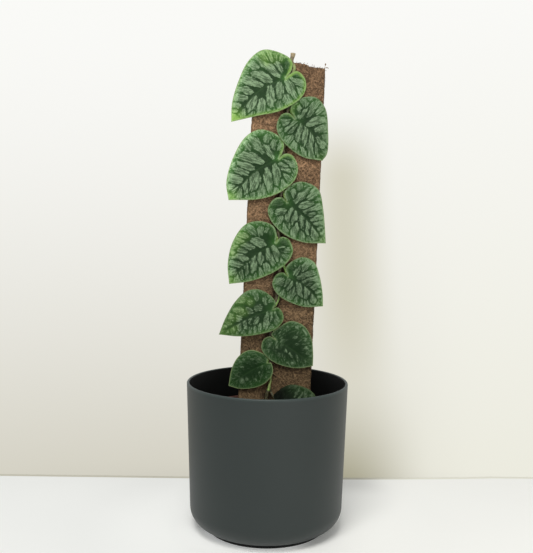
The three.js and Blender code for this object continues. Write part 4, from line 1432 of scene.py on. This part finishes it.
def make_leaf(look, number, leaf, marks, underside):
    """A blade of even thickness, skinned half by half and closed along its rim."""
    shape = Shape(BOARD_PLACE)
    draw = random.Random(number)
    ids = {}
    fronts, backs = [], []

    def pair(point, lift):
        """A corner on the front and one on the back, shared by all faces that meet there."""
        key = (round(point[0], 3), round(point[1], 3))
        if key not in ids:
            back = blade_back(leaf, *point) + max(lift, DEEPEST)
            ids[key] = len(fronts)
            fronts.append(shape.corner((*point, back + BLADE_THICKNESS)))
            backs.append(shape.corner((*point, back)))
        return ids[key]

    rims = []
    for side in (0, 1):
        grid = half_grid(number, leaf, marks, side, draw, pair)
        rims.append([cell[0] for cell in grid[0]] + [cells[-1][0] for cells in grid[1:]])
        skin_half(shape, grid, fronts, backs)
    loop = rims[0] + rims[1][1:-1][::-1]
    if sum(turn_of(shape, fronts[loop[0]], fronts[a], fronts[b]) for a, b in zip(loop, loop[1:])) < 0:
        loop.reverse()
    maps = {key: [numbers] * 4 for key, numbers in zip(LEAF_MAPS, RIM_NUMBERS)}
    for a, b in zip(loop, loop[1:] + loop[:1]):
        if a != b:
            shape.face((backs[a], backs[b], fronts[b], fronts[a]), 0, **maps)
    materials = [leaf_paint(look, marks, f"{leaf['name']}_finish"), underside]
    return shape.piece(f"{leaf['name']}_blade", leaf["name"], materials, leaf["name"])


def skin_half(shape, grid, fronts, backs):
    """Front and back faces over the cells of half a blade."""
    for low, high in zip(grid, grid[1:]):
        for k in range(REACH_STEPS):
            used = []
            for cell in (low[k], low[k + 1], high[k + 1], high[k]):
                if cell[0] not in [other[0] for other in used]:
                    used.append(cell)
            if len(used) < 3:
                continue
            if turn_of(shape, *(fronts[cell[0]] for cell in used[:3])) < 0:
                used.reverse()
            maps = {key: [cell[1][i] for cell in used] for i, key in enumerate(LEAF_MAPS)}
            shape.face([fronts[cell[0]] for cell in used], 0, **maps)
            backwards = {key: pairs[::-1] for key, pairs in maps.items()}
            shape.face([backs[cell[0]] for cell in used][::-1], 1, **backwards)


def relief(depth, from_midrib, from_margin, number, place):
    """How far a blade's face stands up or sinks: up in the panels, sunk along veins, midrib and rim."""
    puff = 0.5 * ease(depth, -1.5, 2.0) * ease(from_margin, 0, 4)
    midrib = 0.15 * math.exp(-((from_midrib / 2) ** 2))
    rim = 0.25 * ease(from_margin, 5, 0)
    wave = noise.noise(Vector((place[0] / 24, place[1] / 24, number))) * 0.7
    return puff - midrib - rim + wave * ease(from_midrib, 0, 15)


def turn_of(shape, a, b, c):
    """Twice the area of a triangle of corners, seen from in front of the board."""
    first, second, third = (Vector(shape.corners[i]) for i in (a, b, c))
    return (second - first).cross(third - first).dot(BOARD_FACING)


def floor_back(x):
    """Where the floor meets the backdrop."""
    for (x0, y0), (x1, y1) in zip(FLOOR_BACK, FLOOR_BACK[1:]):
        if x <= x1:
            return blend(y0, y1, (x - x0) / (x1 - x0))


def floor_paint(look):
    """Pale floor with painted light and shade: a painted shade line at the seam, a painted shadow behind the
    pot, painted light about the pot and on the right, and a painted glow in front of its foot.
    """
    paint = Paint("floor_finish")
    place = paint.place()
    cloud = paint.noise(place, 3, 2)
    x, y, _ = paint.split(place)
    from_pot = paint.maths("SQRT", x * x + y * y)
    # Painted light about the pot, more on its left, then a painted shadow behind it on the right
    light = 0.98 + cloud * 0.04 + paint.ease(from_pot, 0.22, 0.09) * (0.14 - paint.ease(x, 0.0, 0.08) * 0.07)
    light = light * (1 - paint.ease(y, 0.09, 0.15) * paint.ease(abs(x - 0.1), 0.07, 0.02) * 0.22)
    # Painted light: the floor lighter towards the right
    tint = paint.mix(look.floor, look.floor_right_painted_light, paint.ease(x, -0.05, 0.12))
    # Painted shade along the seam with the backdrop
    seam = paint.mix(look.floor_seam_shade, look.floor_seam_shade_right, paint.ease(x, 0.1, 0.24))
    tint = paint.mix(tint, seam, paint.ease(paint.map("seam")[0], 0.0, 0.2))
    tint = paint.shade(tint, light)
    # Painted glow, no lamp: the floor gives off light in front of the pot's foot, less on the right
    glow = paint.ease(from_pot, 0.08, 0.071) * 0.2 + paint.ease(from_pot, 0.108, 0.075) * 0.1
    glow = glow * paint.ease(y, 0.02, -0.03) * (1 - paint.ease(x, 0.02, 0.06) * 0.8)
    sockets = {
        "Base Color": tint,
        "Roughness": 0.7,
        "Emission Color": paint.shade(tint, glow),
        "Emission Strength": 1.0,
    }
    return paint.finish(sockets)


def make_floor(look):
    shape = Shape()
    rows, seam = [], {}
    for j in range(FLOOR_STEPS + 2):
        row = []
        for i in range(2 * FLOOR_STEPS + 1):
            x = FLOOR_HALF * ((i - FLOOR_STEPS) / FLOOR_STEPS) ** 3
            back = floor_back(x)
            y = back + FLOOR_SEAM if j > FLOOR_STEPS else blend(FLOOR_FRONT, back, (j / FLOOR_STEPS) ** 0.5)
            row.append(shape.corner((x, y, 0)))
            seam[row[-1]] = 1.0 if j > FLOOR_STEPS else 0.0
        rows.append(row)
    for near, far in zip(rows, rows[1:]):
        for i in range(2 * FLOOR_STEPS):
            face = (near[i], near[i + 1], far[i + 1], far[i])
            shape.face(face, seam=[(seam[corner], 0.0) for corner in face])
    shape.object("floor", [floor_paint(look)], flat=True)


def make_backdrop(look):
    """A pale studio backdrop: lighter above, greyer towards its foot, with the plant's soft shade on it."""
    world = bpy.data.worlds.new("studio")
    bpy.context.scene.world = world
    world.use_nodes = True
    paint = Paint(tree=world.node_tree)
    x, y, z = paint.split(paint.node("ShaderNodeTexCoord", output=0))
    ahead = paint.ease(y, 0.5, 0.9)
    down = paint.smaller(paint.larger((0.24 - z) / 0.545, 0.0), 1.1)
    left = paint.mix(look.backdrop_top, look.backdrop_foot, paint.maths("POWER", down, 1.6))
    right = paint.mix(look.backdrop_top, look.backdrop_right, down)
    tint = paint.mix(left, right, paint.ease(x, 0.02, 0.26))
    stripe = paint.ease(abs(x - 0.088 + (z - 0.05) * 0.06), 0.07, 0.0)
    stripe = stripe * paint.ease(z, 0.13, 0.03) * paint.ease(z, -0.36, -0.08)
    tint = paint.mix(tint, look.backdrop_shade, stripe * ahead * 0.8)
    low = paint.ease(z, -0.2, -0.36) * paint.ease(x, 0.2, 0.09) * paint.ease(x, -0.05, 0.03)
    tint = paint.mix(tint, look.backdrop_low, low * ahead)
    # Painted shade just above the floor along the backdrop's foot
    tint = paint.shade(tint, 1 - paint.ease(z, -0.3, -0.335) * 0.09)
    behind = paint.larger(paint.ease(y, 0.35, -0.2), paint.ease(z, 0.35, 0.7) * 0.6)
    room = (1 - behind * (1 - look.room)) * look.ambient
    light = paint.node("ShaderNodeBackground", None, {"Color": tint, "Strength": room})
    paint.node("ShaderNodeOutputWorld", None, {"Surface": light})


def make_camera():
    """The camera that sees the plant as the photograph does."""
    down, pan, roll = (math.radians(angle) for angle in (CAMERA_DOWN, CAMERA_PAN, CAMERA_ROLL))
    forward = Vector((math.sin(pan) * math.cos(down), math.cos(pan) * math.cos(down), -math.sin(down)))
    right = forward.cross(Vector((0, 0, 1))).normalized()
    up = right.cross(forward)
    rolled_right = right * math.cos(roll) + up * math.sin(roll)
    rolled_up = up * math.cos(roll) - right * math.sin(roll)
    camera = bpy.data.objects.new("camera", bpy.data.cameras.new("camera"))
    bpy.context.scene.collection.objects.link(camera)
    axes = Matrix((rolled_right, rolled_up, -forward)).transposed()
    camera.matrix_world = Matrix.Translation(Vector(CAMERA_PLACE) * MM) @ axes.to_4x4()
    camera.data.lens = camera.data.sensor_width * CAMERA_FOCAL_PIXELS / PICTURE_HEIGHT
    bpy.context.scene.camera = camera


def make_light(name, kind, power):
    """A soft square lamp that points at the middle of the plant."""
    lamp = bpy.data.lights.new(name, "AREA")
    lamp.shape = "SQUARE"
    lamp.size = kind["size"]
    lamp.energy = power
    lamp.color = kind["colour"]
    made = bpy.data.objects.new(name, lamp)
    bpy.context.scene.collection.objects.link(made)
    made.location = kind["place"]
    made.rotation_euler = (Vector(LAMP_AIM) - made.location).to_track_quat("-Z", "Y").to_euler()


def colour(description, *rgb):
    settings = {"subtype": "COLOR", "size": 3, "min": 0.0, "max": 1.0}
    return FloatVectorProperty(name=description, description=description, default=srgb(*rgb), **settings)


class PotLook(bpy.types.PropertyGroup):
    pot_sides: IntProperty(name="Pot sides", description="Faces round the cover pot", default=192, min=48)
    pot_wall: colour("Colour of the cover pot", 34, 43, 42)
    # Near-black of the cover pot's inside and stand: painted shade
    pot_inside_shade: colour("Colour inside the cover pot", 9, 11, 10)
    nursery_wall: colour("Colour of the nursery pot", 84, 48, 38)
    mix_dark: colour("Dark of the potting mix", 26, 19, 15)
    mix_light: colour("Light of the potting mix", 66, 48, 36)
    crumbs: IntProperty(name="Crumbs", description="Loose crumbs on the potting mix", default=900, min=0)


class BoardLook(bpy.types.PropertyGroup):
    coir_high: colour("Colour of the coir at the top", 150, 119, 90)
    coir_low: colour("Colour of the coir at the pot", 127, 105, 77)
    coir_fibres: IntProperty(
        name="Coir fibres", description="Loose fibres on the board's faces and sides", default=2600, min=0
    )
    fray_fibres: IntProperty(
        name="Frayed ends", description="Fibre ends along the top of the board", default=150, min=0
    )


class VineLook(bpy.types.PropertyGroup):
    stem_dark: colour("Dark of the stem", 42, 42, 24)
    stem_light: colour("Light of the stem", 88, 82, 52)
    petiole_dark: colour("Dark of the petioles", 96, 134, 56)
    petiole_light: colour("Light of the petioles", 150, 188, 98)
    cut_end: colour("Colour of the cut end", 155, 139, 109)
    root: colour("Colour of the clasping roots", 128, 104, 74)


class LeafLook(bpy.types.PropertyGroup):
    leaf_dark: colour("Green beside the midrib", 25, 60, 21)
    leaf_green: colour("Green between veins and rim", 52, 103, 38)
    leaf_rim: colour("Green along the rim", 88, 130, 74)
    leaf_young: colour("Green of young tips", 98, 147, 53)
    leaf_silver: colour("Silver between the veins", 158, 189, 147)
    leaf_silver_young: colour("Silver near young tips", 172, 209, 126)
    leaf_glow: colour("Green about the notch", 140, 181, 88)
    leaf_edge: colour("Pale line along the edge", 154, 176, 120)
    leaf_under: colour("Underside", 104, 134, 92)


class StageLook(bpy.types.PropertyGroup):
    floor: colour("Floor", 240, 242, 241)
    # Painted light: the floor is lighter on the right
    floor_right_painted_light: colour("Floor on the right", 248, 249, 246)
    # Painted shade where floor and backdrop meet, at the left and at the right
    floor_seam_shade: colour("Line where floor and backdrop meet", 196, 193, 178)
    floor_seam_shade_right: colour("The same line at the right", 230, 229, 216)
    backdrop_top: colour("Top of the backdrop", 250, 250, 247)
    backdrop_foot: colour("Foot of the backdrop at the left", 213, 210, 197)
    backdrop_right: colour("Foot of the backdrop at the right", 236, 235, 223)
    backdrop_shade: colour("Shade on the backdrop", 206, 202, 180)
    backdrop_low: colour("Shade beside the foot of the pot", 162, 158, 132)
    ambient: FloatProperty(name="Ambient light", description="Strength of the backdrop's light", default=1.0)
    room: FloatProperty(name="Room", description="Share of that light from behind the camera", default=0.28)
    key_power: FloatProperty(
        name="Main light", description="Power of the main lamp", default=25.5, min=0.0, unit="POWER"
    )
    fill_power: FloatProperty(
        name="Fill light", description="Power of the lamp on the right", default=5.0, min=0.0, unit="POWER"
    )


class SHINGLE_OT_pots(bpy.types.Operator):
    """Build the cover pot and the nursery pot that stands in it"""

    bl_idname = "shingle.pots"
    bl_label = "Pots"

    def execute(self, context):
        look = context.scene.shingle_pot
        make_cover_pot(look)
        make_nursery_pot(look)
        return {"FINISHED"}


class SHINGLE_OT_mix(bpy.types.Operator):
    """Fill the nursery pot with potting mix and strew it with crumbs"""

    bl_idname = "shingle.mix"
    bl_label = "Potting mix"

    def execute(self, context):
        make_potting_mix(context.scene.shingle_pot)
        return {"FINISHED"}


class SHINGLE_OT_board(bpy.types.Operator):
    """Build the coir board and its loose fibres"""

    bl_idname = "shingle.board"
    bl_label = "Coir board"

    def execute(self, context):
        make_coir_board(context.scene.shingle_board)
        return {"FINISHED"}


class SHINGLE_OT_vine(bpy.types.Operator):
    """Build the stem with its petioles, clasping roots and cut top"""

    bl_idname = "shingle.vine"
    bl_label = "Vine"

    def execute(self, context):
        make_vine(context.scene.shingle_vine)
        return {"FINISHED"}


class SHINGLE_OT_leaves(bpy.types.Operator):
    """Build the ten leaf blades from the top down"""

    bl_idname = "shingle.leaves"
    bl_label = "Leaves"

    def execute(self, context):
        look = context.scene.shingle_leaf
        underside = underside_paint(look)
        for number, (leaf, marks) in enumerate(zip(LEAVES, LEAF_MARKS), 1):
            make_leaf(look, number, leaf, {**USUAL_MARKS, **marks}, underside)
        return {"FINISHED"}


class SHINGLE_OT_stage(bpy.types.Operator):
    """Set up the pale floor, the backdrop, the lamps and the camera"""

    bl_idname = "shingle.stage"
    bl_label = "Stage"

    def execute(self, context):
        look = context.scene.shingle_stage
        context.scene.view_settings.view_transform = "Standard"
        make_floor(look)
        make_backdrop(look)
        make_light("main_lamp", MAIN_LAMP, look.key_power)
        make_light("fill_lamp", FILL_LAMP, look.fill_power)
        make_camera()
        return {"FINISHED"}


class SHINGLE_PT_parts(bpy.types.Panel):
    bl_idname = "SHINGLE_PT_parts"
    bl_label = "Shingle plant"
    bl_space_type = "VIEW_3D"
    bl_region_type = "UI"
    bl_category = "Shingle plant"

    def draw(self, context):
        for operator in OPERATORS:
            self.layout.operator(operator.bl_idname)
        for name in LOOKS:
            look = getattr(context.scene, name)
            box = self.layout.box()
            for key in look.__annotations__:
                box.prop(look, key)


LOOKS = {
    "shingle_pot": PotLook,
    "shingle_board": BoardLook,
    "shingle_vine": VineLook,
    "shingle_leaf": LeafLook,
    "shingle_stage": StageLook,
}
OPERATORS = [
    SHINGLE_OT_pots,
    SHINGLE_OT_mix,
    SHINGLE_OT_board,
    SHINGLE_OT_vine,
    SHINGLE_OT_leaves,
    SHINGLE_OT_stage,
]


def register():
    for made in (*LOOKS.values(), *OPERATORS, SHINGLE_PT_parts):
        bpy.utils.register_class(made)
    for name, look in LOOKS.items():
        setattr(bpy.types.Scene, name, PointerProperty(type=look))


def unregister():
    for name in LOOKS:
        delattr(bpy.types.Scene, name)
    for made in (SHINGLE_PT_parts, *OPERATORS, *LOOKS.values()):
        bpy.utils.unregister_class(made)


def main():
    register()
    for operator in OPERATORS:
        group, name = operator.bl_idname.split(".")
        getattr(getattr(bpy.ops, group), name)()


if __name__ == "__main__":
    main()
